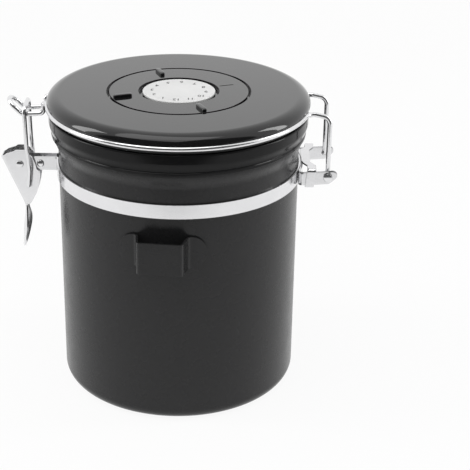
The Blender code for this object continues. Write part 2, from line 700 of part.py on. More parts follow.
def make_lever():
    web_top = lever_point(WEB_TOP_SHARES)
    web_foot = lever_point(WEB_FOOT_SHARES)
    neck = lever_point(NECK_SHARES)
    rows = [(web_top.lerp(web_foot, share), CHEEK_OUTSIDE, 0.0) for share in WEB_ROW_SHARES]
    rows.append((web_foot.lerp(neck, NECK_ROW_SHARE), (CHEEK_OUTSIDE + LEVER_NECK_HALF) / 2, 0.0))
    rows.append((neck, LEVER_NECK_HALF, 0.0))
    for share, width in LEAF_SHARES:
        place = neck + Vector((-LEAF_LEAN * share * share, -LEAF_LENGTH * share))
        rows.append((place, LEAF_HALF * width, LEAF_DISH * width))
    rows.append((neck + Vector((-LEAF_LEAN, -LEAF_LENGTH)), LEAF_TIP_HALF, 0.0))
    sheet_rows = []
    for place, half, dish in rows:
        row = []
        for across in LEAF_ROW_SHARES:
            row.append((place.x + dish * across * across, half * across, place.y))
        sheet_rows.append(row)
    web = ribbon("latch_lever", sheet_rows, LEVER_SHEET)
    outline = [lever_point(shares) for shares in CHEEK_SHARES]
    stand = Matrix.Rotation(math.radians(90), 4, "X")
    offset = CHEEK_INSIDE + LEVER_SHEET / 2
    for side in (-1, 1):
        cheek = plate("cheek_%s" % ("near" if side < 0 else "far"), outline, LEVER_SHEET,
                      Matrix.Translation((0, side * offset, 0)) @ stand)
        combine(web, cheek, "UNION")
    reach = CHEEK_OUTSIDE + OVERRUN
    holes = joined("lever_holes", [
        cylinder("pivot", PIN_RADIUS + RUNNING_GAP, (PIVOT_X, -reach, PIVOT_Z), (PIVOT_X, reach, PIVOT_Z)),
        cylinder("bail_hole", BAIL_WIRE + GAP, (BAIL_FOOT_X, -reach, BAIL_FOOT_Z),
                 (BAIL_FOOT_X, reach, BAIL_FOOT_Z))])
    combine(web, holes, "DIFFERENCE")
    return keep(web, "polished steel")


def make_bail():
    """Two legs hooked into the lever's cheeks and a bar across their tops."""
    foot = Vector((BAIL_FOOT_X, 0, BAIL_FOOT_Z))
    top = Vector((BAIL_TOP_X, 0, BAIL_TOP_Z))
    near = [Vector((foot.x, -EAR_OUTSIDE - GAP, foot.z)), Vector((foot.x, -BAIL_HALF, foot.z))]
    for rise, bow in BAIL_BOW_SHARES:
        place = foot.lerp(top, rise)
        near.append(Vector((place.x + BAIL_BOW * bow, -BAIL_HALF, place.z)))
    near.append(Vector((top.x, -BAIL_HALF, top.z)))
    mirror = Matrix.Diagonal((1, -1, 1))
    corners = near + [mirror @ corner for corner in reversed(near)]
    bends = [BAIL_HOOK_BEND, BAIL_SWEEP, BAIL_SWEEP, BAIL_BEND]
    return keep(wire("latch_bail", rounded_path(corners, bends + bends[::-1], BEND_STEPS), BAIL_WIRE),
                "polished steel")


# Lid

def make_lid_cover():
    shoulder_top = LID_RADIUS - LID_SHOULDER
    rise = LID_TOP - LID_EDGE_Z
    dome = []
    for step in range(6):
        angle = math.radians(90 - 90 * step / 5)
        dome.append((shoulder_top + LID_SHOULDER * math.cos(angle), LID_EDGE_Z + rise * math.sin(angle)))
    groove = GROOVE_RADIUS
    wall = groove - LID_WALL
    well_outside = WELL_RADIUS + WELL_FLOOR
    hub_outside = HUB_WELL_RADIUS + WELL_FLOOR
    floor_bottom = WELL_TOP - WELL_FLOOR
    hub_bottom = HUB_WELL_FLOOR - WELL_FLOOR
    boss_foot = hub_bottom - BOSS_LENGTH
    pilot = SCREW_RADIUS + RUNNING_GAP
    profile = [(WELL_RADIUS, LID_TOP)] + dome
    profile += [(groove, LID_EDGE_Z), (groove, LID_WALL_FOOT), (wall, LID_WALL_FOOT),
                (wall, LID_TOP - LID_SKIN), (well_outside, LID_TOP - LID_SKIN),
                (well_outside, floor_bottom), (hub_outside, floor_bottom), (hub_outside, hub_bottom),
                (BOSS_RADIUS, hub_bottom), (BOSS_RADIUS, boss_foot), (pilot, boss_foot),
                (pilot, HUB_WELL_FLOOR), (HUB_WELL_RADIUS, HUB_WELL_FLOOR),
                (HUB_WELL_RADIUS, WELL_TOP), (WELL_RADIUS, WELL_TOP)]
    return keep(turned("lid_cover", profile, ROUND_STEPS, True), "gloss black plastic")


def rib_box(angle):
    """A finger rib, round-edged and standing on the month ring."""
    made = box("rib", (RIB_INNER, -RIB_HALF, LID_TOP - MARK_DEPTH),
               (RIB_OUTER, RIB_HALF, LID_TOP + RIB_HEIGHT))
    working = bmesh.new()
    working.from_mesh(made.data)
    upper = [edge for edge in working.edges if max(vert.co.z for vert in edge.verts) > LID_TOP]
    bmesh.ops.bevel(working, geom=upper, offset=RIB_ROUND, segments=2, profile=0.5, affect="EDGES")
    working.to_mesh(made.data)
    working.free()
    made.data.transform(Matrix.Rotation(angle, 4, "Z"))
    return made


def make_date_ring():
    flange_top = HUB_FLANGE_BOTTOM - GAP
    bottom = flange_top - DATE_FLANGE
    throat = DIAL_RADIUS + GAP
    edge = RIB_ROUND / 2
    profile = [(DIAL_MOUTH, LID_TOP), (DATE_RADIUS - edge, LID_TOP), (DATE_RADIUS, LID_TOP - edge),
               (DATE_RADIUS, bottom), (DATE_FLANGE_INNER, bottom), (DATE_FLANGE_INNER, flange_top),
               (throat, flange_top), (throat, LID_TOP - DIAL_FUNNEL)]
    made = turned("date_ring", profile, ROUND_STEPS, True)
    combine(made, joined("ribs", [rib_box(angle) for angle in RIB_ANGLES]), "UNION")
    mark = box("month_mark", (MARK_INNER, -MARK_WIDTH / 2, LID_TOP - MARK_DEPTH),
               (MARK_OUTER, MARK_WIDTH / 2, LID_TOP + OVERRUN))
    mark.data.transform(Matrix.Rotation(MARK_ANGLE, 4, "Z"))
    combine(made, mark, "DIFFERENCE")
    return keep(made, "gloss black plastic")


def make_dial():
    plate_bottom = DIAL_TOP - DIAL_PLATE
    edge = DIAL_PLATE / 3
    profile = [(0, DIAL_TOP), (DIAL_RADIUS - edge, DIAL_TOP), (DIAL_RADIUS, DIAL_TOP - edge),
               (DIAL_RADIUS, plate_bottom), (0, plate_bottom)]
    keep(turned("dial_plate", profile, ROUND_STEPS, False), "white dial")
    stem_bottom = HUB_WELL_FLOOR + GAP
    seat = HUB_TOP - SCREW_HEAD_HEIGHT - GAP - GAP
    bore = SCREW_RADIUS + GAP
    sink = SCREW_HEAD_RADIUS + GAP
    profile = [(sink, HUB_TOP), (DIAL_RADIUS, HUB_TOP), (DIAL_RADIUS, HUB_FLANGE_BOTTOM),
               (HUB_STEM, HUB_FLANGE_BOTTOM), (HUB_STEM, stem_bottom), (bore, stem_bottom),
               (bore, seat), (sink, seat)]
    keep(turned("dial_hub", profile, FINE_STEPS, True), "gloss black plastic")
    head_bottom = seat + GAP
    head_top = head_bottom + SCREW_HEAD_HEIGHT
    tip = head_bottom - SCREW_LENGTH
    profile = [(0, head_top), (SCREW_HEAD_RADIUS - edge, head_top), (SCREW_HEAD_RADIUS, head_top - edge),
               (SCREW_HEAD_RADIUS, head_bottom), (SCREW_RADIUS, head_bottom),
               (SCREW_RADIUS, tip + SCREW_RADIUS), (0, tip)]
    keep(turned("hub_screw", profile, PIN_STEPS, False), "polished steel")


def make_insert():
    """The plug under the lid, with the valve seat and its ports in the middle."""
    flange_top = INSERT_FLANGE_TOP
    drop = GASKET_BOTTOM - PLUG_BOTTOM
    run = PLUG_RADIUS - PLUG_FLAT_RADIUS
    outer = [(PLUG_RADIUS, INSERT_FLANGE_BOTTOM), (PLUG_RADIUS, GASKET_BOTTOM)]
    outer += [(PLUG_RADIUS - run * in_share, GASKET_BOTTOM - drop * down_share)
              for in_share, down_share in PLUG_SHARES]
    outer.append((PLUG_FLAT_RADIUS, PLUG_BOTTOM))
    inner = [(PLUG_FLAT_RADIUS - PLUG_SKIN / 2, SEAT_TOP)]
    inner += [(radius - PLUG_SKIN / 2, height + PLUG_SKIN) for radius, height in reversed(outer[2:-1])]
    wall_top = SEAT_TOP + VALVE_WALL_HEIGHT
    profile = [(0, SEAT_TOP), (VALVE_WALL_RADIUS - VALVE_WALL, SEAT_TOP),
               (VALVE_WALL_RADIUS - VALVE_WALL, wall_top), (VALVE_WALL_RADIUS, wall_top),
               (VALVE_WALL_RADIUS, SEAT_TOP)]
    profile += inner
    profile += [(PLUG_RADIUS - PLUG_SKIN, flange_top), (INSERT_FLANGE_RADIUS, flange_top),
                (INSERT_FLANGE_RADIUS, INSERT_FLANGE_BOTTOM)]
    profile += outer
    profile.append((0, PLUG_BOTTOM))
    made = turned("lid_insert", profile, ROUND_STEPS, False)
    ports = []
    for index in range(PORT_COUNT):
        angle = 2 * math.pi * index / PORT_COUNT
        x, y = PORT_CIRCLE * math.cos(angle), PORT_CIRCLE * math.sin(angle)
        ports.append(cylinder("port", PORT_RADIUS, (x, y, PLUG_BOTTOM - OVERRUN),
                              (x, y, SEAT_TOP + VALVE_WALL_HEIGHT), PIN_STEPS // 2))
    combine(made, joined("valve_ports", ports), "DIFFERENCE")
    return keep(made, "satin black plastic")


def make_gasket():
    inner = PLUG_RADIUS + GAP
    edge = GASKET_HEIGHT / 3
    profile = [(inner, GASKET_TOP), (GASKET_RADIUS - edge, GASKET_TOP),
               (GASKET_RADIUS, GASKET_TOP - edge), (GASKET_RADIUS, GASKET_BOTTOM + edge),
               (GASKET_RADIUS - edge, GASKET_BOTTOM), (inner, GASKET_BOTTOM)]
    return keep(turned("lid_gasket", profile, ROUND_STEPS, True), "black silicone")


def make_valve():
    """A loose disc on its seat, the cap that limits its lift and the screen below."""
    disc_bottom = SEAT_TOP + GAP
    disc_top = disc_bottom + VALVE_DISC_HEIGHT
    profile = [(0, disc_top), (VALVE_DISC_RADIUS, disc_top), (VALVE_DISC_RADIUS, disc_bottom),
               (0, disc_bottom)]
    keep(turned("valve_disc", profile, FINE_STEPS, False), "black silicone")
    roof_bottom = disc_top + VALVE_LIFT + GAP
    roof_top = roof_bottom + CAP_ROOF
    inside = VALVE_WALL_RADIUS + GAP
    outside = inside + VALVE_WALL
    foot = SEAT_TOP + GAP
    profile = [(0, roof_top), (outside, roof_top), (outside, foot), (inside, foot),
               (inside, roof_bottom), (0, roof_bottom)]
    cap = turned("valve_cap", profile, FINE_STEPS, False)
    eyes = []
    for index in range(PORT_COUNT):
        angle = 2 * math.pi * (index + 0.5) / PORT_COUNT
        x, y = CAP_EYE_CIRCLE * math.cos(angle), CAP_EYE_CIRCLE * math.sin(angle)
        eyes.append(cylinder("eye", CAP_EYE_RADIUS, (x, y, disc_top), (x, y, roof_top + OVERRUN),
                             PIN_STEPS // 2))
    combine(cap, joined("cap_eyes", eyes), "DIFFERENCE")
    keep(cap, "satin black plastic")
    screen_top = PLUG_BOTTOM - GAP
    screen_bottom = screen_top - SCREEN_HEIGHT
    profile = [(0, screen_top), (SCREEN_RADIUS, screen_top), (SCREEN_RADIUS, screen_bottom),
               (0, screen_bottom)]
    screen = turned("valve_screen", profile, FINE_STEPS, False)
    slots = []
    middle = (len(SCREEN_SLOT_SHARES) - 1) / 2
    for index, share in enumerate(SCREEN_SLOT_SHARES):
        y = SCREEN_SLOT_PITCH * (index - middle)
        half = SCREEN_SLOT_LENGTH / 2 * share
        slots.append(box("slot", (-half, y - SCREEN_SLOT / 2, screen_bottom - OVERRUN),
                         (half, y + SCREEN_SLOT / 2, screen_top + GAP / 2)))
    combine(screen, joined("screen_slots", slots), "DIFFERENCE")
    keep(screen, "polished steel")


clear_scene()
PARTS = make_collection("coffee_canister")
TOOLS = make_collection("cutters")
MATERIALS = {
    "satin black steel": make_material("satin black steel", (0.035, 0.035, 0.037), 0.42, 0.2),
    "gloss black plastic": make_material("gloss black plastic", (0.018, 0.018, 0.019), 0.10, 0.0),
    "satin black plastic": make_material("satin black plastic", (0.030, 0.030, 0.031), 0.40, 0.0),
    "black silicone": make_material("black silicone", (0.020, 0.020, 0.021), 0.60, 0.0),
    "polished steel": make_material("polished steel", (0.78, 0.78, 0.79), 0.12, 1.0),
    "white dial": make_material("white dial", (0.85, 0.85, 0.85), 0.35, 0.0),
}

make_can()
make_collar()
make_band()
make_holder()
make_hinge_bracket()
make_keeper()
headed_pin("lever_pin", PIN_RADIUS, PIN_HEAD_RADIUS, PIN_HEAD_HEIGHT,
           CHEEK_OUTSIDE + GAP, PIVOT_X, PIVOT_Z)
headed_pin("band_rivet", RIVET_RADIUS, RIVET_HEAD_RADIUS, RIVET_HEAD_HEIGHT,
           EAR_OUTSIDE + GAP, RIVET_X, PIVOT_Z)
make_lever()
make_bail()
make_lid_wire()
make_lid_cover()
make_date_ring()
make_dial()
make_insert()
make_gasket()
make_valve()

# Hard edges stay hard on the turned and folded pieces
for piece in PARTS.objects:
    piece.data.set_sharp_from_angle(angle=SHARP_ANGLE)
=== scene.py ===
"""Dresses the coffee canister: fine surfaces, finishes, a plain stage and the camera."""
import json
import math

import bmesh
import bpy
import numpy as np
from bpy.props import (FloatProperty, FloatVectorProperty, IntProperty, PointerProperty,
                       StringProperty)
from mathutils import Matrix, Vector


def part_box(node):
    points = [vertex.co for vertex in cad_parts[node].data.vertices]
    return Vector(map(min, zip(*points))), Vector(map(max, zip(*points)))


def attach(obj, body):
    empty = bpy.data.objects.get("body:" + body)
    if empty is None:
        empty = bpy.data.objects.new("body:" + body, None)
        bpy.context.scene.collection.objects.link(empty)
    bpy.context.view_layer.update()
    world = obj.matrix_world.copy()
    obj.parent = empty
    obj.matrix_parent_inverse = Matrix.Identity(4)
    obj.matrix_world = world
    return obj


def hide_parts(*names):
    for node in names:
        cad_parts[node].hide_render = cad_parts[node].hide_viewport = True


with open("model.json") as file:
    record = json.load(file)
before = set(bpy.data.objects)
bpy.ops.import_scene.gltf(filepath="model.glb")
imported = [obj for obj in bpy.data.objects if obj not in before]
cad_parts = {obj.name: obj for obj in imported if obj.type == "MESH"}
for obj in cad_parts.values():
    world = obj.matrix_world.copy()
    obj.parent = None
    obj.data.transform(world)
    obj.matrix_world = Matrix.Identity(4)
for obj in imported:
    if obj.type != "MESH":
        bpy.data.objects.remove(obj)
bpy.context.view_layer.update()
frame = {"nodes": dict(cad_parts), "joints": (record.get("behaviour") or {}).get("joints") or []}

bl_info = {
    "name": "Coffee Canister",
    "version": (1, 0, 0),
    "blender": (4, 5, 0),
    "location": "3D View > Sidebar > Canister",
    "description": "Builds a wire-latched coffee canister over its packed solids",
    "category": "Add Mesh",
}

MM = 0.001
TINY = 1e-6
GAP = 0.3 * MM
SKEW = np.array([1.0, 1.0, 1.0])
BOXES = {node: tuple(np.array(corner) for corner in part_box(node)) for node in frame["nodes"]}
LOW = {node: box[0] for node, box in BOXES.items()}
HIGH = {node: box[1] for node, box in BOXES.items()}
AXES = {joint["name"]: joint.get("pos_m") for joint in frame["joints"]}
LID_TOP = float(HIGH["lid_cover"][2])
WIRE_RADIUS = 1.2 * MM
WIRE_CROWN, BAIL_CROWN = 0.35 * MM, 0.3 * MM
WIRE_HEADS = np.array([1.05, 0.34, 0.30]) * MM
PIN_HOLE, RIVET_HOLE, BAIL_HOLE, HINGE_HOLE = 1.5 * MM, 1.35 * MM, 1.4 * MM, 1.45 * MM
PIN_DOME, PIN_SHAFT = 0.62 * MM, 0.64
SHEET_EDGE, BAND_EDGE, HOLDER_EDGE = 0.2 * MM, 0.18 * MM, 0.35 * MM
GAP_EDGE, INNER_EDGE, GROOVE_LEDGE, WALL_CLEAR = 0.16 * MM, 0.09 * MM, 0.1 * MM, 0.25 * MM
RING_EDGES = np.array([0.16, 0.16, 0.2, 0.1, 0.1, 0.2]) * MM
DIAL_EDGES, DIAL_SMOOTH = np.array([0.25, 0.15]) * MM, 0.6 * MM
INK_LIFT, INK_DEPTH, INK_SPREAD = 0.012 * MM, 0.01 * MM, 0.05 * MM

# Points of a line that a bend takes up, and powers that crowd points towards one end of it
BLEND = 8
EAR_CROWDING, HINGE_CROWDING = 1.6, 0.7

# Keeper strip, from the middle plane: where it is level, where it dips, and its bend radii
KEEPER_FLAT, KEEPER_DIP = 13 * MM, 8 * MM
KEEPER_BENDS = np.array([1.1, 4, 4, 4, 4, 1.1]) * MM

# Bail: shares of its height where the legs bend, and the share of the bow left at the second bend
BAIL_BENDS, BOW_LEFT = (0.21, 0.50), 0.15

# Plug and screen: power of the bowl's curve, number of ports, length of each slot as a share
BOWL_POWER, PORTS, SLOT_SHARES = 1.8, 6, (0.86, 1, 1, 1, 0.86)
PLUG_EDGE, SEAL_EDGE = 0.15 * MM, 0.3 * MM

# Cheek outline of the lever as shares of its depth and height, measured from the pivot
CHEEK_TOP = ((-0.354, 0.176), (-0.143, 0.220), (-0.101, 0.247), (0.122, 0.247))
CHEEK_FREE = ((0.122, 0.247), (0.354, 0.108), (0.407, 0.007), (0.444, -0.098), (0.508, -0.125),
              (0.524, -0.196), (0.487, -0.345), (0.423, -0.510), (0.302, -0.662), (0.243, -0.720))
CHEEK_FOOT = ((0.164, -0.736), (0.243, -0.720))
WEB_ENDS = ((-0.476, 0.128), (0.058, -0.672))
NECK = (0.106, -0.800)
LEAF_CLOSES, LEAF_TIP, LEAF_LEVEL = 0.93, 0.3, 0.45
LEAF_WIDTHS = ((0.0, 0.12, 0.26, 0.42, 0.60, 0.78, 0.92, 1.0),
               (0.30, 0.45, 0.82, 1.0, 0.97, 0.72, 0.38, 0.20))

# Hinge ear outline: share of its reach past the axis, lower and upper edge as shares of its height
EAR_SHARES = ((-1.9, 0.14, 0.42, 0.62, 0.80, 0.92, 1.0),
              (-0.50, -0.36, -0.22, -0.10, 0.01, 0.10, 0.22),
              (0.50, 0.64, 0.68, 0.66, 0.60, 0.52, 0.40))

# Where a noise pattern mostly lies
PATTERN = (0.3, 0.7)

# Stage, in metres: floor and backdrop from the side, their bend and half width
FLOOR_LINE, FLOOR_BEND, FLOOR_HALF = ((-1.6, -0.0002), (1.1, -0.0002), (1.1, 2.0)), 0.5, 2.2

# Height of a mirrored direction along Y, between which the room turns from dark to white
ROOM_EDGE = (-0.42, -0.30)

# Lamps: name, place and size, the power it has and its share of it
LAMPS = (("top_lamp", (-0.15, -0.25, 1.1), (0.9, 0.9), "key_power", 1.0),
         ("left_lamp", (-0.95, -0.05, 0.55), (0.30, 0.9), "side_power", 1.0),
         ("right_lamp", (0.95, 0.10, 0.50), (0.22, 0.9), "side_power", 0.85))
LAMP_AIM = (0, 0, 0.08)
SENSOR_WIDTH, NEAR_CLIP = 36, 0.01


def length(label, description, millimetres):
    """A length property that a user can change."""
    return FloatProperty(name=label, description=description, default=millimetres * MM,
                         unit="LENGTH", precision=5)


def angle(label, description, degrees):
    """An angle property that a user can change."""
    return FloatProperty(name=label, description=description, default=math.radians(degrees),
                         subtype="ANGLE")


def share(label, description, default):
    """A number between nought and one."""
    return FloatProperty(name=label, description=description, default=default, min=0, max=1,
                         subtype="FACTOR")


def colour(label, description, default):
    """A colour property."""
    return FloatVectorProperty(name=label, description=description, default=default, size=3,
                               min=0, max=1, subtype="COLOR")


class CanisterVesselSizes(bpy.types.PropertyGroup):
    """Sizes of the can, its collar and the scoop holder"""

    can_radius: length("Can radius", "Outer radius of the straight wall", 60.0)
    can_wall: length("Can wall", "Thickness of the steel", 0.8)
    can_corner: length("Can corner", "Outer radius of the bottom edge", 6.3)
    neck_height: length("Neck height", "Height over which the neck flares", 7.0)
    neck_drop: length("Neck drop", "How far below the mouth the flare begins", 17.3)
    collar_lip: length("Collar lip", "Thickness of the lip inside the mouth", 0.7)
    collar_bead: length("Collar bead", "Height of the bead at the collar's foot", 2.3)
    collar_proud: length("Bead depth", "How far the bead stands proud", 0.42)
    collar_flare: length("Collar flare", "Height of the collar's flared part", 4.2)
    collar_round: length("Collar rounding", "Rounding of the collar's top edge", 0.7)
    holder_sheet: length("Holder sheet", "Thickness of the scoop holder", 1.0)
    holder_depth: length("Holder depth", "How far the holder's front stands off the can", 9.2)
    holder_front: length("Holder front", "Half the width of the holder's front", 10.45)
    holder_foot: length("Holder foot", "Half the distance between the holder's feet", 12.2)
    holder_reach: length("Holder reach", "Half the width over the feet, along the can", 21.5)
    holder_bend: length("Holder bend", "Bend radius of the holder's front corners", 1.4)
    holder_rise: length("Holder rise", "Bend radius where the holder leaves the can", 2.8)
    segments: IntProperty(name="Segments", description="Faces round a turned piece", default=192)
    holder_turn: angle("Holder turn", "Where the holder sits round the can", -5)


class CanisterWireSizes(bpy.types.PropertyGroup):
    """Sizes of the lid wire and the bail"""

    ring_radius: length("Ring radius", "Radius of the wire ring at its middle", 64.6)
    ring_level: length("Ring level", "Height of the wire ring", 146.9)
    hook_half: length("Hook half width", "Half the distance between the hook's wires", 5.0)
    hook_drop: length("Hook drop", "Where the hook's wires go down, from the can's axis", 66.4)
    hook_level: length("Hook level", "Height of the hook's seat", 141.5)
    hook_fall: length("Hook fall", "How far the hook's wires fall on their way out", 0.5)
    hook_turn: length("Hook turn", "Where the hook turns up, from the can's axis", 77.2)
    hook_tip: length("Hook tip", "Height of the hook's tip", 147.3)
    hook_short: length("Hook short", "How far the hook's tip stays inside its solid", 1.3)
    leg_drop: length("Leg drop", "How far the wires fall from the ring to the legs", 1.6)
    hook_bend: length("Hook bend", "Bend radius in the hook", 2.3)
    leg_side: length("Leg side", "Distance of a hinge leg from the middle plane", 14.65)
    leg_top: length("Leg top bend", "Bend at the top of a hinge leg", 4.2)
    leg_foot: length("Leg foot bend", "Bend at the foot of a hinge leg", 2.2)
    leg_turn: length("Leg side bend", "Bend where the ring turns into a leg", 5.0)
    head_radius: length("Head radius", "Radius of the peened heads of the legs", 2.2)
    bail_wire: length("Bail wire", "Radius of the bail's wire", 1.1)
    bail_half: length("Bail half width", "Half the distance between the bail's legs", 7.8)
    bail_inner: length("Bail ends", "Distance of the bail's ends from the middle plane", 3.4)
    bail_bend: length("Bail bend", "Bend radius of the bail's top corners", 3.0)
    bail_hook: length("Bail hook bend", "Bend radius of the bail's lower ends", 1.7)
    bail_bow: length("Bail bow", "How far the bail's legs bow inwards", 1.0)
    bail_sweep: length("Bail sweep", "Bend radius along the bail's legs", 12.0)
    sides: IntProperty(name="Sides", description="Faces round a wire", default=20)
    steps: IntProperty(name="Bend steps", description="Steps in one bend", default=12)


class CanisterSheetSizes(bpy.types.PropertyGroup):
    """Sizes of the band, the latch lever and the hinge"""

    band_sheet: length("Band sheet", "Thickness of the band", 0.8)
    ear_spread: length("Ear spread", "Distance of a band ear from the middle plane", 2.7)
    band_bend: length("Band bend", "Bend radius at the foot of an ear", 1.2)
    lever_sheet: length("Lever sheet", "Thickness of the lever's sheet", 0.9)
    lever_depth: length("Lever depth", "Size that the cheek's outline is drawn to", 18.9)
    lever_height: length("Lever height", "Size that the cheek's outline is drawn to", 29.6)
    cheek_half: length("Cheek half width", "Distance of a cheek from the middle plane", 4.15)
    fold: length("Fold", "Radius of the lever's folds", 1.4)
    leaf_half: length("Leaf half width", "Half the width of the finger leaf", 7.0)
    leaf_length: length("Leaf length", "Length of the finger leaf", 23.2)
    leaf_lean: length("Leaf lean", "How far the leaf leans outwards", 2.2)
    leaf_dish: length("Leaf dish", "Depth of the leaf's hollow", 2.2)
    hinge_sheet: length("Hinge sheet", "Thickness of the hinge bracket", 1.0)
    hinge_bend: length("Hinge bend", "Bend radius of the hinge bracket", 2.0)
    ear_reach: length("Hinge ear reach", "Length of a hinge ear past the axis", 4.6)
    ear_height: length("Hinge ear height", "Height of a hinge ear", 6.9)
    keeper_sheet: length("Keeper sheet", "Thickness of the keeper strip", 0.9)
    keeper_width: length("Keeper width", "Width of the keeper strip", 4.4)
    keeper_middle: length("Keeper middle", "Where the strip's middle lies, outside the can", 3.4)
    keeper_ends: length("Keeper ends", "Where the strip's ends lie, outside the can", 6.0)
    keeper_lean: length("Keeper lean", "How far the folded ends lean inwards", 1.0)


class CanisterLidSizes(bpy.types.PropertyGroup):
    """Sizes of the lid, the month ring, the dial and the plug"""

    shoulder: length("Shoulder", "Width of the lid's rounded shoulder", 6.2)
    rise: length("Rise", "Height of the shoulder above the wire groove", 4.6)
    groove: length("Groove", "Depth of the wire groove", 1.9)
    skin: length("Skin", "Thickness of the lid's top", 2.0)
    wall: length("Wall", "Thickness of the lid's wall", 2.4)
    well: length("Well", "Radius of the month ring's recess", 35.6)
    ring_inset: length("Ring inset", "How much smaller the ring's edge is drawn, for a clear gap",
                       0.2)
    well_depth: length("Well depth", "Depth of the recess", 3.0)
    hub_well: length("Hub well", "Radius of the hub's recess", 6.9)
    hub_depth: length("Hub depth", "Depth of the hub's recess", 2.5)
    floor: length("Floor", "Thickness of the recess floors", 1.2)
    boss: length("Boss", "Radius of the screw boss", 4.5)
    boss_length: length("Boss length", "Length of the screw boss", 3.1)
    pilot: length("Pilot", "Radius of the screw's pilot hole", 1.45)
    dial_mouth: length("Dial mouth", "Radius of the month ring's mouth round the dial", 19.9)
    undercut: length("Undercut", "How far the walls of the two gaps lean back under their edges",
                     0.5)
    ring_flange: length("Ring flange", "Thickness of the month ring's flange", 0.7)
    flange_inner: length("Flange hole", "Radius of the hole in the ring's flange", 9.0)
    rib_inner: length("Rib start", "Where a finger rib starts, from the axis", 24.3)
    rib_outer: length("Rib end", "Where a finger rib ends, from the axis", 33.6)
    rib_half: length("Rib half width", "Half the width of a finger rib", 1.3)
    rib_height: length("Rib height", "Height of a finger rib", 1.5)
    mark_inner: length("Mark start", "Where the pointer line starts", 21.3)
    mark_outer: length("Mark end", "Where the pointer line ends", 28.7)
    mark_width: length("Mark width", "Width of the pointer line", 0.8)
    mark_depth: length("Mark depth", "Depth of the pointer line", 0.4)
    number_circle: length("Number circle", "Radius of the circle of numbers", 13.35)
    number_size: length("Number size", "Type size of the numbers", 3.7)
    plug: length("Plug", "Radius of the plug at the gasket", 57.6)
    plug_flat: length("Plug flat", "Radius of the plug's flat bottom", 44.0)
    plug_skin: length("Plug skin", "Thickness of the plug", 1.6)
    plug_flange: length("Plug flange", "Thickness of the plug's flange", 0.6)
    seat_wall: length("Seat wall", "Radius of the wall round the valve seat", 11.2)
    port: length("Port", "Radius of a valve port", 1.2)
    port_circle: length("Port circle", "Radius of the circle of ports", 5.0)
    slot_width: length("Slot width", "Width of a slot in the screen", 1.1)
    slot_pitch: length("Slot pitch", "Distance between two slots", 2.6)
    slot_half: length("Slot half length", "Half the length of a slot", 7.5)
    number_turn: angle("Number turn", "How far the numbers stand turned clockwise", 3)


class CanisterColours(bpy.types.PropertyGroup):
    """Colours of the finishes"""

    paint: colour("Satin paint", "Black paint on the can and the holder", (0.017, 0.017, 0.0175))
    gloss: colour("Gloss plastic", "Plastic of the lid and the collar", (0.008, 0.008, 0.0083))
    moulded: colour("Moulded plastic", "Black plastic under the lid", (0.028, 0.028, 0.029))
    rubber: colour("Silicone", "Gasket and valve disc", (0.022, 0.022, 0.022))
    steel: colour("Steel", "Polished steel", (0.78, 0.78, 0.79))
    card: colour("Dial card", "White dial", (0.72, 0.72, 0.715))
    ink: colour("Ink", "Numbers of the dial", (0.05, 0.05, 0.05))
    floor: colour("Floor", "Floor and backdrop", (0.88, 0.88, 0.88))


class CanisterStage(bpy.types.PropertyGroup):
    """Camera, lamps and floor"""

    white_to: length("White to", "Where the mirrored floor begins to darken, along Y", -342)
    dark_from: length("Dark from", "Where the mirrored floor is dark, along Y", -402)
    camera_place: FloatVectorProperty(name="Camera place", description="Where the camera stands",
                                      size=3, default=(0.028859, -0.63817, 0.37017),
                                      subtype="TRANSLATION")
    pitch: angle("Camera pitch", "How far the camera looks down", 24.8114)
    roll: angle("Camera roll", "How far the camera leans", 1.0375)
    lens: FloatProperty(name="Lens", description="Focal length in millimetres", default=104.35,
                        unit="CAMERA")
    ambient: FloatProperty(name="Ambient", description="Strength of the world's plain light",
                           default=0.45)
    glow: share("Floor glow", "How much of the seen floor shines by itself", 0.92)
    front_level: share("Front level", "Reflected brightness of the room in front", 0.055)
    key_power: FloatProperty(name="Key", description="Power of the top lamp in watts", default=4.1)
    side_power: FloatProperty(name="Side", description="Power of a side lamp in watts", default=4.2)


# Curves and surfaces

def rounded(corners, radii, steps):
    """Straight runs whose inner corners are arcs of given radii, tangent to the runs they join."""
    corners = np.asarray(corners, float)
    before = corners[1:-1] - corners[:-2]
    after = corners[2:] - corners[1:-1]
    before = before / np.linalg.norm(before, axis=1, keepdims=True)
    after = after / np.linalg.norm(after, axis=1, keepdims=True)
    bend = np.arccos(np.clip((before * after).sum(1), -1, 1))
    radii = np.broadcast_to(np.asarray(radii, float), bend.shape)
    inset = radii * np.tan(bend / 2)
    aside = after - before * (before * after).sum(1)[:, None]
    aside /= np.maximum(np.linalg.norm(aside, axis=1, keepdims=True), TINY)
    sweep = np.linspace(0, 1, steps + 1)[None, :, None] * bend[:, None, None]
    start = (corners[1:-1] - before * inset[:, None])[:, None, :]
    curved = np.sin(sweep) * before[:, None, :] + (1 - np.cos(sweep)) * aside[:, None, :]
    bends = (start + radii[:, None, None] * curved).reshape(-1, corners.shape[1])
    return distinct(np.concatenate([corners[:1], bends, corners[-1:]]))


def distinct(path):
    """The same line without points that repeat the one before."""
    gaps = np.linalg.norm(np.diff(path, axis=0), axis=1)
    return path[np.concatenate([[True], gaps > 10 * TINY])]


def even(points, count):
    """Points evenly spaced along a line."""
    points = distinct(np.asarray(points, float))
    along = np.concatenate([[0], np.cumsum(np.linalg.norm(np.diff(points, axis=0), axis=1))])
    wanted = np.linspace(0, along[-1], count)
    return np.stack([np.interp(wanted, along, axis) for axis in points.T], axis=1)


def ease(value):
    """A smooth step: three times the square less twice the cube, between nought and one."""
    value = np.clip(value, 0, 1)
    return value * value * (3 - 2 * value)


def arc(radius, turns):
    """Points of a circle at some turns."""
    return radius * np.stack([np.cos(turns), np.sin(turns)], axis=-1)


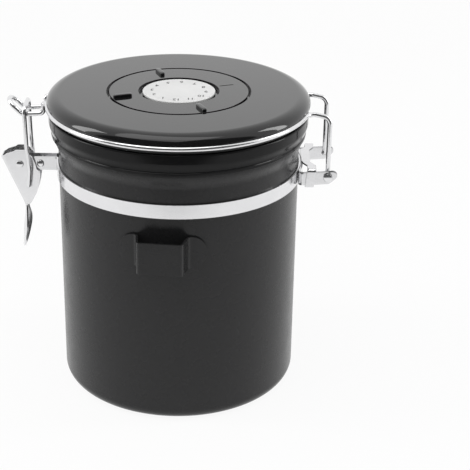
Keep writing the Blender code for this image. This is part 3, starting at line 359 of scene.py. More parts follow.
def both_sides(side, signs, *middle):
    """A line, what joins it, and the line's mirror image run backwards."""
    return np.concatenate([side, *middle, side[::-1] * signs])


def directions(path):
    """Unit directions along a path, each the mean of the runs before and after the point."""
    runs = np.diff(path, axis=0)
    runs /= np.linalg.norm(runs, axis=1, keepdims=True)
    along = np.concatenate([runs[:1], runs[:-1] + runs[1:], runs[-1:]])
    return along / np.linalg.norm(along, axis=1, keepdims=True)


def grid_faces(rows, columns, close_rows, close_columns):
    """Quads between neighbouring points of a grid, carried round where the grid closes."""
    row = np.arange(rows if close_rows else rows - 1)
    column = np.arange(columns if close_columns else columns - 1)
    row, column = np.meshgrid(row, column, indexing="ij")
    next_row, next_column = (row + 1) % rows, (column + 1) % columns
    corners = [row * columns + column, row * columns + next_column,
               next_row * columns + next_column, next_row * columns + column]
    return np.stack(corners, axis=-1).reshape(-1, 4)


def placed(name, data):
    """A new object in the scene."""
    made = bpy.data.objects.new(name, data)
    bpy.context.scene.collection.objects.link(made)
    return made


def resolved(made):
    """The mesh that a piece's modifiers, or a line of type, come to."""
    bpy.context.view_layer.update()
    return bpy.data.meshes.new_from_object(
        made.evaluated_get(bpy.context.evaluated_depsgraph_get()))


def welded(mesh, distance, seal=False):
    """Merges points that lie together and turns the faces outwards; to seal a mesh, it also drops
    faces without area and closes the slits that are left."""
    working = bmesh.new()
    working.from_mesh(mesh)
    bmesh.ops.remove_doubles(working, verts=working.verts, dist=distance)
    if seal:
        bmesh.ops.dissolve_degenerate(working, edges=working.edges, dist=distance)
        bmesh.ops.holes_fill(working, edges=working.edges, sides=6)
    bmesh.ops.recalc_face_normals(working, faces=working.faces)
    working.to_mesh(mesh)
    working.free()
    return mesh


def surface(name, grids, close_rows=False, close_columns=False):
    """One mesh from grids of points, welded where they meet, its faces turned outwards."""
    points, faces, count = [], [], 0
    for grid in grids:
        faces.append(grid_faces(*grid.shape[:2], close_rows, close_columns) + count)
        points.append(grid.reshape(-1, 3))
        count += len(points[-1])
    mesh = bpy.data.meshes.new(name)
    mesh.from_pydata(np.concatenate(points).tolist(), [], np.concatenate(faces).tolist())
    return placed(name, welded(mesh, 2 * TINY))


def turned(name, profile, segments, closed=False):
    """Each profile point (radius, height) swept round the Z axis."""
    profile = np.asarray(profile, float)
    turn = np.linspace(0, 2 * np.pi, segments, endpoint=False)
    points = np.stack([profile[:, :1] * np.cos(turn), profile[:, :1] * np.sin(turn),
                       np.repeat(profile[:, 1:2], segments, axis=1)], axis=-1)
    return surface(name, [points], close_rows=closed, close_columns=True)


def ring_section(corners, radii, steps=5):
    """A closed section with all its corners rounded, run from the middle of its last side."""
    corners = np.asarray(corners, float)
    start = (corners[-1:] + corners[:1]) / 2
    return rounded(np.concatenate([start, corners, start]), radii, steps)[:-1]


def wire(name, path, radii, sides, crown):
    """A circle carried square to a path, its ends drawn in to a point over an elliptical crown."""
    radii = np.broadcast_to(np.asarray(radii, float), (len(path),))
    along = directions(path)
    across = np.cross(along, SKEW)
    across /= np.linalg.norm(across, axis=1, keepdims=True)
    over = np.cross(along, across)
    lift = np.linspace(0, np.pi / 2, 8)[1:, None]
    first = (path[0] - along[0] * crown * np.sin(lift))[::-1]
    last = path[-1] + along[-1] * crown * np.sin(lift)
    centres = np.concatenate([first, path, last])
    narrow = np.cos(lift[:, 0])
    widths = np.concatenate([(radii[0] * narrow)[::-1], radii, radii[-1] * narrow])
    rows = np.clip(np.arange(len(centres)) - len(lift), 0, len(path) - 1)
    turn = np.linspace(0, 2 * np.pi, sides, endpoint=False)[None, :, None]
    circle = across[rows][:, None, :] * np.cos(turn) + over[rows][:, None, :] * np.sin(turn)
    return surface(name, [centres[:, None, :] + circle * widths[:, None, None]], close_columns=True)


def bar(name, low, high, power=0.2, steps=20):
    """A rounded block: sines and cosines raised to a power, signs kept, spread to a box."""
    low, high = np.asarray(low, float), np.asarray(high, float)
    up = np.linspace(-np.pi / 2, np.pi / 2, steps)
    turn = np.linspace(0, 2 * np.pi, 2 * steps, endpoint=False)
    up, turn = np.meshgrid(up, turn, indexing="ij")
    waves = np.stack([np.cos(up), np.sin(up), np.cos(turn), np.sin(turn)])
    waves = np.where(np.abs(waves) < TINY, 0, np.sign(waves) * np.abs(waves) ** power)
    unit = np.stack([waves[0] * waves[2], waves[0] * waves[3], waves[1]], axis=-1)
    return surface(name, [(low + high) / 2 + (high - low) / 2 * unit], close_columns=True)


def strip(path, low, high, end_length, columns=7):
    """A level strip along a plan line, its two ends drawn in to half circles."""
    along = np.concatenate([[0], np.cumsum(np.linalg.norm(np.diff(path, axis=0), axis=1))])
    part = np.clip(np.minimum(along, along[-1] - along) / end_length, 0, 1)
    half = (high - low) / 2 * np.maximum(np.sqrt(1 - (1 - part) ** 2), 0.06)
    level = (low + high) / 2 + half[:, None] * np.linspace(-1, 1, columns)
    flat = np.broadcast_to(path[:, None, :2], (len(path), columns, 2))
    return np.concatenate([flat, level[:, :, None]], axis=2)


def freeze(made):
    """Replaces a piece's mesh by its finished one and drops its modifiers."""
    mesh = resolved(made)
    made.modifiers.clear()
    made.data = mesh
    return made


def sheet(name, grids, thickness, edge=SHEET_EDGE):
    """A bent sheet: the grids are its middle surface, thickened to both sides, edges rounded."""
    made = surface(name, grids)
    solid = made.modifiers.new("sheet", "SOLIDIFY")
    solid.thickness = thickness
    solid.offset = 0
    solid.use_even_offset = True
    bevel = made.modifiers.new("edges", "BEVEL")
    bevel.width = edge
    bevel.segments = 2
    bevel.limit_method = "ANGLE"
    bevel.angle_limit = math.radians(50)
    return freeze(made)


def cut(made, cutters, operation="DIFFERENCE"):
    """Cuts a piece by others, or joins them to it, and removes them."""
    for cutter in cutters:
        boolean = made.modifiers.new("cut", "BOOLEAN")
        boolean.operation = operation
        boolean.object = cutter
        boolean.solver = "EXACT"
    freeze(made)
    for cutter in cutters:
        bpy.data.objects.remove(cutter, do_unlink=True)
    welded(made.data, TINY, seal=True)


def peg(radius, low, high, matrix=None, sides=48):
    """A plain closed cylinder along Z, for cutting, then placed."""
    made = turned("peg", [(0, low), (radius, low), (radius, high), (0, high)], sides)
    if matrix is not None:
        made.data.transform(matrix)
    return made


def across_at(x, z):
    """Lays something turned about Z along Y, at a place in the middle plane."""
    return Matrix.Translation((x, 0, z)) @ Matrix.Rotation(math.pi / 2, 4, "X")


def drill(made, reach, *holes):
    """Cuts holes along Y through a piece, each from its radius and its place."""
    cut(made, [peg(radius, -reach, reach, across_at(place[0], place[2]))
               for radius, place in holes])


def disc_section(node, edges, steps):
    """Half the section of a disc that fills a solid's box, its edges rounded."""
    (_, _, low), (radius, _, high) = BOXES[node]
    return rounded([(0, high), (radius, high), (radius, low), (0, low)], edges, steps)


def finish(made, body, material, slot, *replaced, sharp=35):
    """Shades a piece, gives it its material and hangs it on its body."""
    made.data.materials.clear()
    made.data.materials.append(bpy.data.materials[material])
    made.data.shade_smooth()
    made.data.set_sharp_from_angle(angle=math.radians(sharp))
    shading = made.modifiers.new("shading", "WEIGHTED_NORMAL")
    shading.keep_sharp = True
    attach(made, body)
    if replaced:
        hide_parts(*replaced)


# Finishes

class NodeTree:
    """A short way to write a node tree"""

    def __init__(self, owner):
        owner.use_nodes = True
        self.tree = owner.node_tree

    def add(self, kind, sockets=(), **settings):
        """A node whose sockets, by name or number, hold values or take other nodes' outputs."""
        made = self.tree.nodes.new(kind)
        for key, value in settings.items():
            setattr(made, key, value)
        self.fill(made, sockets)
        return made

    def fill(self, node, sockets):
        """Gives sockets their values, or links other nodes' outputs to them."""
        for key, value in dict(sockets).items():
            if isinstance(value, bpy.types.NodeSocket):
                self.tree.links.new(value, node.inputs[key])
            else:
                node.inputs[key].default_value = value

    def combine(self, operation, first, second):
        """Two values joined by one operation."""
        return self.add("ShaderNodeMath", {0: first, 1: second}, operation=operation).outputs[0]

    def spread(self, source, before, after, **settings):
        """A value carried from one range to another."""
        sockets = {"Value": source, "From Min": before[0], "From Max": before[1],
                   "To Min": after[0], "To Max": after[1]}
        return self.add("ShaderNodeMapRange", sockets, **settings).outputs["Result"]


class Finish(NodeTree):
    """A material whose patterns lie at places on the piece"""

    def __init__(self, name):
        self.material = bpy.data.materials.new(name)
        super().__init__(self.material)
        self.shader = self.tree.nodes["Principled BSDF"]
        self.place = self.add("ShaderNodeTexCoord").outputs["Object"]

    def set(self, **values):
        """Values or patterns for the shader's own sockets, with _ for a space."""
        self.fill(self.shader, {key.replace("_", " "): value for key, value in values.items()})

    def noise(self, scale, detail=3.0, stretch=(1, 1, 1)):
        """Noise of so many grains a metre, drawn out along an axis by a small stretch."""
        place = self.add("ShaderNodeMapping", {"Vector": self.place, "Scale": stretch})
        sockets = {"Vector": place.outputs["Vector"], "Scale": scale, "Detail": detail}
        return self.add("ShaderNodeTexNoise", sockets).outputs[0]

    def gloss(self, source, roughness, change):
        """Roughness that a pattern takes up and down by a change."""
        self.set(Roughness=self.spread(source, PATTERN, (roughness - change, roughness + change)))

    def clouded(self, source, base, amount):
        """The base colour, a little darker and lighter by a pattern."""
        darker, lighter = [(*[min(channel * part, 1) for channel in base], 1)
                           for part in (1 - amount, 1 + amount)]
        mix = self.add("ShaderNodeMix", {0: source, 6: darker, 7: lighter}, data_type="RGBA")
        self.set(Base_Color=mix.outputs[2])

    def bump(self, source, depth, strength):
        """Relief of a depth in metres."""
        sockets = {"Distance": depth, "Strength": strength, "Height": source}
        self.set(Normal=self.add("ShaderNodeBump", sockets).outputs["Normal"])


def satin(name, base, roughness, grain, depth):
    """A satin skin: fine grain in relief, slow clouds in its colour and patches in its gloss."""
    made = Finish(name)
    made.clouded(made.noise(scale=55), base, amount=0.10)
    made.gloss(made.noise(scale=150, detail=4.0), roughness, change=0.03)
    made.bump(made.noise(scale=grain, detail=2.0), depth, strength=0.3)
    return made


def glossy(name, base, roughness, skin, mirrored=0.25):
    """Glossy moulded plastic: a faint waviness, fine wiping marks and a clear skin by a share."""
    made = Finish(name)
    made.clouded(made.noise(scale=40), base, amount=0.12)
    made.gloss(made.noise(scale=420, detail=6.0, stretch=(1, 0.25, 1)), roughness, change=0.03)
    made.bump(made.noise(scale=28, detail=1.0), depth=0.00003, strength=0.15)
    made.set(Coat_Weight=skin, Coat_Roughness=0.03, Specular_IOR_Level=mirrored)


def polished(name, base, stretch, roughness, metallic):
    """Steel: fine lines in gloss and relief along one way, and slow clouds."""
    made = Finish(name)
    made.clouded(made.noise(scale=90), base, amount=0.05)
    lines = made.noise(scale=4200, detail=2.0, stretch=stretch)
    made.gloss(lines, roughness, change=0.02)
    made.bump(lines, depth=0.000003, strength=0.12)
    made.set(Metallic=metallic)


class CANISTER_OT_finishes(bpy.types.Operator):
    """Mix the paint, plastics, silicone, steel, card and ink"""

    bl_idname = "canister.finishes"
    bl_label = "Finishes"

    def execute(self, context):
        colours = context.scene.canister_colours
        satin("satin_paint", colours.paint, roughness=0.27, grain=1900,
              depth=0.00001).set(Specular_IOR_Level=0.3)
        satin("moulded_plastic", colours.moulded, roughness=0.42, grain=2600, depth=0.00004)
        satin("silicone", colours.rubber, roughness=0.62, grain=3200,
              depth=0.00003).set(Sheen_Weight=0.15)
        satin("dial_card", colours.card, roughness=0.40, grain=3000,
              depth=0.00001).set(Coat_Weight=0.3, Coat_Roughness=0.15)
        satin("dial_ink", colours.ink, roughness=0.50, grain=3000, depth=0.00001)
        glossy("gloss_plastic", colours.gloss, roughness=0.08, skin=0.5)
        glossy("collar_plastic", colours.gloss, roughness=0.11, skin=0.0, mirrored=0.16)
        polished("polished_steel", colours.steel, (1, 1, 1), roughness=0.10, metallic=1.0)
        polished("rolled_steel", colours.steel, (0.04, 0.04, 1), roughness=0.18, metallic=0.92)
        for node, material in (("dial_hub", "moulded_plastic"), ("valve_cap", "moulded_plastic"),
                               ("valve_disc", "silicone"), ("hub_screw", "polished_steel")):
            for held in frame["nodes"][node].material_slots:
                held.material = bpy.data.materials[material]
        return {"FINISHED"}


# Can, collar, band and holder

class CANISTER_OT_can(bpy.types.Operator):
    """Turn the drawn steel can with its rounded bottom, flared neck and rolled rim"""

    bl_idname = "canister.can"
    bl_label = "Can"

    def execute(self, context):
        sizes = context.scene.canister_vessel
        top, mouth = HIGH["can_body"][2], HIGH["can_body"][0]
        wall, corner = sizes.can_wall, sizes.can_corner
        foot = top - sizes.neck_drop
        height = np.linspace(foot, foot + sizes.neck_height, 20)
        part = ease((height - foot) / sizes.neck_height)
        neck = np.stack([sizes.can_radius + (mouth - sizes.can_radius) * part, height], axis=1)
        circle = arc(1, np.radians(np.linspace(0, -90, 15)))
        centre = np.array([sizes.can_radius - corner, corner])
        edge = wall / 4
        rim = [(mouth - wall, top - edge), (mouth - wall + edge, top), (mouth - edge, top),
               (mouth, top - edge)]
        level = np.linspace(corner, foot, 14)[1:-1]
        straight = np.stack([np.full_like(level, sizes.can_radius), level], axis=1)
        profile = np.concatenate([
            [(0, wall)], (centre + (corner - wall) * circle)[::-1], straight - (wall, 0),
            neck - (wall, 0), rim, neck[::-1], straight[::-1], centre + corner * circle, [(0, 0)]])
        made = turned("can_shell", profile, sizes.segments)
        finish(made, "can", "satin_paint", "satin_black_steel", "can_body")
        return {"FINISHED"}


class CANISTER_OT_collar(bpy.types.Operator):
    """Turn the glossy collar that caps the mouth, with its flare and its bead"""

    bl_idname = "canister.collar"
    bl_label = "Rim collar"

    def execute(self, context):
        sizes = context.scene.canister_vessel
        low, high = LOW["rim_collar"], HIGH["rim_collar"]
        mouth, can_top = HIGH["can_body"][0], HIGH["can_body"][2]
        inner, lip = mouth + GAP, mouth - sizes.can_wall - GAP
        proud = sizes.collar_proud
        foot, radius = inner + proud, high[0]
        bead_top = low[2] + sizes.collar_bead
        part = np.linspace(1, 0, 16)
        flare = np.stack([foot + proud + (radius - foot - proud) * ease(part),
                          bead_top + sizes.collar_flare * part], axis=1)
        top = rounded([(lip - sizes.collar_lip, high[2]), (radius, high[2]), flare[0]],
                      [sizes.collar_round], 8)
        bead = rounded([flare[-1], (foot, bead_top - proud), (foot + proud, bead_top - 2 * proud),
                        (foot + proud, low[2]), (inner, low[2])], [proud / 3, proud / 2, proud], 5)
        lip_foot = can_top - 1.0 * MM
        inside = [(inner, can_top + GAP), (lip, can_top + GAP), (lip, lip_foot),
                  (lip - sizes.collar_lip, lip_foot)]
        profile = distinct(np.concatenate([top, flare, bead, inside]))
        made = turned("collar", profile, sizes.segments, closed=True)
        finish(made, "can", "collar_plastic", "gloss_black_plastic", "rim_collar", sharp=40)
        return {"FINISHED"}


class CANISTER_OT_band(bpy.types.Operator):
    """Wrap the clamp band round the can and bend its ends out as ears"""

    bl_idname = "canister.band"
    bl_label = "Clamp band"

    def execute(self, context):
        sizes = context.scene.canister_sheets
        low, high = LOW["clamp_band"], HIGH["clamp_band"]
        middle = context.scene.canister_vessel.can_radius + GAP + sizes.band_sheet / 2
        spread, bend = sizes.ear_spread, sizes.band_bend
        lean = math.asin((spread + bend) / (middle + bend))
        centre = np.array([-(middle + bend) * math.cos(lean), -spread - bend])
        fold = centre + arc(bend, np.linspace(math.pi / 2, -lean, 12))
        tip = np.array([low[0], -spread])
        ear = tip + (fold[0] - tip) * np.linspace(0, 1, 24)[:-1, None] ** EAR_CROWDING
        belt = arc(middle, np.linspace(math.pi + lean, 3 * math.pi - lean, 260)[1:-1])
        path = both_sides(np.concatenate([ear, fold]), (1, -1), belt)
        made = sheet("band", [strip(path, low[2], high[2], (high[2] - low[2]) / 2)],
                     sizes.band_sheet, BAND_EDGE)
        rivet = (LOW["band_rivet"] + HIGH["band_rivet"]) / 2
        drill(made, spread * 3, (PIN_HOLE, AXES["latch_lever_turn"]), (RIVET_HOLE, rivet))
        finish(made, "can", "rolled_steel", "polished_steel", "clamp_band")
        return {"FINISHED"}


class CANISTER_OT_holder(bpy.types.Operator):
    """Fold the painted strap that holds the scoop: two feet on the can and a loop between"""

    bl_idname = "canister.holder"
    bl_label = "Scoop holder"

    def execute(self, context):
        sizes = context.scene.canister_vessel
        low, high = LOW["scoop_holder"], HIGH["scoop_holder"]
        skin = sizes.can_radius + GAP + sizes.holder_sheet / 2
        front = sizes.can_radius + sizes.holder_depth
        turn = np.linspace(sizes.holder_reach, sizes.holder_foot, 28) / skin
        foot = skin * np.stack([np.sin(turn), -np.cos(turn)], axis=1)
        near = np.array([foot[-BLEND], foot[-1], (sizes.holder_front, -front)])
        bends = [sizes.holder_rise, sizes.holder_bend]
        strap = rounded(both_sides(near, (-1, 1)), bends + bends[::-1], 10)
        path = both_sides(foot[:-BLEND], (-1, 1), strap)
        cosine, sine = math.cos(sizes.holder_turn), math.sin(sizes.holder_turn)
        path = path @ np.array([[cosine, sine], [-sine, cosine]])
        made = sheet("holder", [strip(path, low[2], high[2], (high[2] - low[2]) / 2, 9)],
                     sizes.holder_sheet, HOLDER_EDGE)
        finish(made, "can", "satin_paint", "satin_black_steel", "scoop_holder")
        return {"FINISHED"}


# Hinge

class CANISTER_OT_hinge(bpy.types.Operator):
    """Fold the hinge bracket and the keeper strip that lies over its ears"""

    bl_idname = "canister.hinge"
    bl_label = "Hinge"

    def execute(self, context):
        sizes = context.scene.canister_sheets
        can = context.scene.canister_vessel.can_radius
        middle = can + GAP + sizes.band_sheet + GAP + sizes.hinge_sheet / 2
        side = HIGH["hinge_bracket"][1] - sizes.hinge_sheet / 2
        axis = AXES["lid_hinge"]
        root = math.asin(side / middle)
        web = arc(middle, np.linspace(-root, root, 40))
        out = np.linspace(1, 0, 24)[:, None] ** HINGE_CROWDING
        fold = rounded([(axis[0], -side), web[0], web[BLEND]], sizes.hinge_bend, 10)
        ear = np.concatenate([fold[0] + (sizes.ear_reach, 0) * out, fold[1:-1]])
        path = both_sides(ear, (1, -1), web[BLEND:-BLEND])
        past = (path[:, 0] - axis[0]) / sizes.ear_reach
        lower, upper = [np.interp(past, EAR_SHARES[0], shares) for shares in EAR_SHARES[1:]]
        band_middle = (LOW["clamp_band"][2] + HIGH["clamp_band"][2]) / 2
        up = lower[:, None] + (upper - lower)[:, None] * np.linspace(0, 1, 7)
        level = band_middle + sizes.ear_height * up
        flat = np.broadcast_to(path[:, None, :], (len(path), 7, 2))
        grid = np.concatenate([flat, level[:, :, None]], axis=2)
        made = sheet("bracket", [grid], sizes.hinge_sheet)
        drill(made, side * 1.3, (HINGE_HOLE, axis))
        finish(made, "can", "rolled_steel", "polished_steel", "hinge_bracket")
        self.keeper(sizes, can)
        return {"FINISHED"}

    def keeper(self, sizes, can):
        """A flat strip carried along a bent line, its width always along X."""
        low, high = LOW["hinge_keeper"], HIGH["hinge_keeper"]
        side, top = high[1] - sizes.keeper_sheet / 2, high[2] - sizes.keeper_sheet / 2
        ends = can + sizes.keeper_ends
        corners = np.array([(ends - sizes.keeper_lean, -side, low[2]), (ends, -side, top),
                            (ends, -KEEPER_FLAT, top),
                            (can + sizes.keeper_middle, -KEEPER_DIP, top)])
        path = rounded(both_sides(corners, (1, -1, 1)), KEEPER_BENDS, 10)
        grid = np.repeat(path[:, None, :], 5, axis=1)
        grid[:, :, 0] += sizes.keeper_width / 2 * np.linspace(-1, 1, 5)
        made = sheet("keeper", [grid], sizes.keeper_sheet)
        finish(made, "can", "rolled_steel", "polished_steel", "hinge_keeper")


class CANISTER_OT_lid_wire(bpy.types.Operator):
    """Bend the one wire that is ring, hook and hinge legs, with peened ends"""

    bl_idname = "canister.lid_wire"
    bl_label = "Lid wire"

    def execute(self, context):
        sizes = context.scene.canister_wires
        ring, level, steps = sizes.ring_radius, sizes.ring_level, sizes.steps
        axis, tip = AXES["lid_hinge"], LOW["lid_wire"][0] + WIRE_RADIUS + sizes.hook_short
        ear = HIGH["hinge_bracket"][1]
        head = np.array([(axis[0], -side, axis[2]) for side in WIRE_HEADS + ear])
        leg_y, side_bend = sizes.leg_side, sizes.leg_turn
        side_y = leg_y + side_bend
        side_x = math.sqrt((ring + side_bend) ** 2 - side_y ** 2)
        side_turn = math.atan2(side_y, side_x)
        leg = rounded([head[-1], (axis[0], -leg_y, axis[2]),
                       (axis[0], -leg_y, level - sizes.leg_drop), (side_x, -leg_y, level)],
                      [sizes.leg_foot, sizes.leg_top], steps)
        bend = arc(side_bend, np.linspace(math.pi / 2, math.pi - side_turn, steps)[1:])
        hook_turn = math.asin((sizes.hook_half + sizes.hook_bend) / ring)
        sweep = arc(ring, np.linspace(-side_turn, hook_turn - math.pi, 150)[1:])
        plan = np.concatenate([bend + (side_x, -side_y), sweep])
        curve = np.concatenate([plan, np.full((len(plan), 1), level)], axis=1)
        near = np.concatenate([head[:-1], leg, curve])
        half, seat = sizes.hook_half, sizes.hook_level
        hook = np.array([near[-1], (-sizes.hook_drop, -half, level),
                         (-sizes.hook_drop, -half, seat),
                         (-sizes.hook_turn, -half, seat - sizes.hook_fall),
                         (tip, -half, sizes.hook_tip)])
        bends = [WIRE_RADIUS, sizes.hook_bend, sizes.hook_bend, half - WIRE_RADIUS / 4]
        loop = rounded(both_sides(hook, (1, -1, 1)), bends + bends[::-1], steps)
        path = both_sides(near[:-1], (1, -1, 1), loop)
        radii = np.full(len(path), WIRE_RADIUS)
        radii[[0, 1, -2, -1]] = sizes.head_radius
        made = wire("lid_ring_wire", path, radii, sizes.sides, WIRE_CROWN)
        finish(made, "lid", "polished_steel", "polished_steel", "lid_wire", sharp=45)
        return {"FINISHED"}


# Latch

def headed(name, node):
    """A pin along Y with two domed heads: an elliptical dome, a step and a straight shaft."""
    low, high = LOW[node], HIGH[node]
    head, half = (high[0] - low[0]) / 2, high[1]
    foot = half - PIN_DOME
    lift = np.linspace(math.pi / 2, 0, 10)
    dome = np.stack([head * np.cos(lift), foot + PIN_DOME * np.sin(lift)], axis=1)
    upper = np.concatenate([dome, [(head * PIN_SHAFT, foot)]])
    made = turned(name, both_sides(upper, (1, -1)), 48)
    middle = (low + high) / 2
    made.data.transform(across_at(middle[0], middle[2]))
    finish(made, "can", "polished_steel", "polished_steel", node)


class CANISTER_OT_pins(bpy.types.Operator):
    """Head the latch pin and the rivet that holds the band's ears"""

    bl_idname = "canister.pins"
    bl_label = "Pins"

    def execute(self, context):
        headed("latch_pin", "lever_pin")
        headed("ear_rivet", "band_rivet")
        return {"FINISHED"}


class CANISTER_OT_lever(bpy.types.Operator):
    """Fold the latch lever: two cheeks, a back web and a dished finger leaf"""

    bl_idname = "canister.lever"
    bl_label = "Latch lever"

    def execute(self, context):
        sizes = context.scene.canister_sheets
        pivot = AXES["latch_lever_turn"]
        scale = np.array([sizes.lever_depth, sizes.lever_height])
        origin = np.array([pivot[0], pivot[2]])

        def at(shares):
            """Places in the middle plane from shares of the lever's size."""
            return origin + np.asarray(shares) * scale

        top, foot = at(WEB_ENDS[0]), at(WEB_ENDS[1])
        fold, half = sizes.fold, sizes.cheek_half
        rows, columns = 36, 16
        run = (foot - top) / np.linalg.norm(foot - top)
        inward = np.array([-run[1], run[0]])
        web = top + (foot - top) * np.linspace(0, 1, rows)[:, None]
        cheek = self.cheek(web + inward * fold, at(CHEEK_TOP), at(CHEEK_FREE), at(CHEEK_FOOT),
                           columns)
        bend = np.linspace(0, math.pi / 2, 9)[1:-1]
        folded = web[:, None, :] + inward * fold * (1 - np.sin(bend))[None, :, None]
        flat = np.repeat(web[:, None, :], 7, axis=1)
        plan = np.concatenate([cheek[:, ::-1], folded, flat, folded[:, ::-1], cheek], axis=1)
        corner = half - fold + fold * np.cos(bend)
        inner = half - fold
        y = np.concatenate([np.full(columns, -half), -corner, np.linspace(-inner, inner, 7),
                            corner[::-1], np.full(columns, half)])
        y = np.broadcast_to(y, plan.shape[:2])
        channel = np.stack([plan[:, :, 0], y, plan[:, :, 1]], axis=-1)
        made = sheet("lever", [channel, self.leaf(sizes, foot, at(NECK), inner)], sizes.lever_sheet)
        drill(made, half * 2, (PIN_HOLE, pivot), (BAIL_HOLE, AXES["bail_swing"]))
        finish(made, "lever", "rolled_steel", "polished_steel", "latch_lever")
        return {"FINISHED"}

    def cheek(self, back, upper, free, lower, columns):
        """A patch between four lines: both pairs blended, less the blend of the corners."""
        rows = len(back)
        upper = even(np.concatenate([back[:1], upper]), columns)[None, :, :]
        lower = even(np.concatenate([back[-1:], lower]), columns)[None, :, :]
        free = even(free, rows)[:, None, :]
        back = back[:, None, :]
        down = np.linspace(0, 1, rows)[:, None, None]
        out = np.linspace(0, 1, columns)[None, :, None]
        sides = (1 - out) * back + out * free
        ends = (1 - down) * upper + down * lower
        corners = ((1 - down) * ((1 - out) * upper[:, :1] + out * upper[:, -1:])
                   + down * ((1 - out) * lower[:, :1] + out * lower[:, -1:]))
        return sides + ends - corners

    def leaf(self, sizes, foot, neck, inner):
        """A leaf whose half width is a smooth curve of its length, dished by the square."""
        part = np.linspace(0, 1, 40)
        fitted = np.polyval(np.polyfit(LEAF_WIDTHS[0], LEAF_WIDTHS[1], 5), part) * sizes.leaf_half
        past = np.clip((part - LEAF_CLOSES) / (1 - LEAF_CLOSES), 0, 1)
        half = fitted * np.maximum(np.sqrt(1 - past ** 2), LEAF_TIP)
        x = neck[0] - sizes.leaf_lean * part ** 2
        z = neck[1] - sizes.leaf_length * part
        stem = np.linspace(0, 1, 6)[:-1]
        x = np.concatenate([foot[0] + (neck[0] - foot[0]) * stem, x])
        z = np.concatenate([foot[1] + (neck[1] - foot[1]) * stem, z])
        dish = np.concatenate([np.zeros(5), sizes.leaf_dish * half / sizes.leaf_half])
        half = np.concatenate([inner + (half[0] - inner) * ease(stem), half])
        across = np.linspace(-1, 1, 7)
        return np.stack([x[:, None] + dish[:, None] * (across ** 2 - LEAF_LEVEL),
                         half[:, None] * across, np.repeat(z[:, None], 7, axis=1)], axis=-1)


class CANISTER_OT_bail(bpy.types.Operator):
    """Bend the bail: two legs hooked into the lever's cheeks and a bar across their tops"""

    bl_idname = "canister.bail"
    bl_label = "Bail"

    def execute(self, context):
        sizes = context.scene.canister_wires
        foot = np.array([AXES["bail_swing"][0], AXES["bail_swing"][2]])
        wide = sizes.bail_wire
        top = np.array([LOW["latch_bail"][0] + wide, HIGH["latch_bail"][2] - wide])
        bow = np.array([sizes.bail_bow, 0])
        first = foot + (top - foot) * BAIL_BENDS[0] + bow
        second = foot + (top - foot) * BAIL_BENDS[1] + bow * BOW_LEFT
        half = sizes.bail_half
        near = np.array([(foot[0], -sizes.bail_inner, foot[1]), (foot[0], -half, foot[1]),
                         (first[0], -half, first[1]), (second[0], -half, second[1]),
                         (top[0], -half, top[1])])
        bends = [sizes.bail_hook, sizes.bail_sweep, sizes.bail_sweep, sizes.bail_bend]
        path = rounded(both_sides(near, (1, -1, 1)), bends + bends[::-1], sizes.steps)
        made = wire("bail", path, wide, sizes.sides, BAIL_CROWN)
        finish(made, "bail", "polished_steel", "polished_steel", "latch_bail", sharp=60)
        return {"FINISHED"}


# Lid

class CANISTER_OT_lid(bpy.types.Operator):
    """Turn the glossy lid with its soft shoulder, wire groove and the recess for the month ring"""

    bl_idname = "canister.lid"
    bl_label = "Lid"

    def execute(self, context):
        sizes = context.scene.canister_lid
        radius = HIGH["lid_cover"][0]
        edge = LID_TOP - sizes.rise
        ledge = edge - GROOVE_LEDGE
        wall_foot = HIGH["lid_insert"][2] + WALL_CLEAR
        outer = radius - sizes.groove
        inner = outer - sizes.wall
        ceiling = LID_TOP - sizes.skin
        well_floor = LID_TOP - sizes.well_depth
        hub_floor = well_floor - sizes.hub_depth
        boss_top = hub_floor - sizes.floor
        boss_foot = boss_top - sizes.boss_length
        well, hub_well = sizes.well + sizes.floor, sizes.hub_well + sizes.floor
        lift = np.linspace(math.pi / 2, 0, 24)
        dome = np.stack([radius - sizes.shoulder + sizes.shoulder * np.cos(lift),
                         edge + sizes.rise * np.sin(lift)], axis=1)
        deep = sizes.well + sizes.undercut
        mouth = rounded([(deep, well_floor), (sizes.well, LID_TOP), dome[0]], GAP_EDGE, 5)
        under = rounded([
            dome[-1], (radius, ledge), (outer, ledge), (outer, wall_foot), (inner, wall_foot),
            (inner, ceiling), (well, ceiling), (well, well_floor - sizes.floor),
            (hub_well, well_floor - sizes.floor), (hub_well, boss_top), (sizes.boss, boss_top),
            (sizes.boss, boss_foot), (sizes.pilot, boss_foot), (sizes.pilot, hub_floor),
            (sizes.hub_well, hub_floor), (sizes.hub_well, well_floor), (deep, well_floor)],
            INNER_EDGE, 3)
        profile = np.concatenate([mouth[1:-1], dome, under[1:-1], [(deep, well_floor)]])
        segments = context.scene.canister_vessel.segments
        made = turned("lid", distinct(profile), segments, closed=True)
        finish(made, "lid", "gloss_plastic", "gloss_black_plastic", "lid_cover")
        return {"FINISHED"}


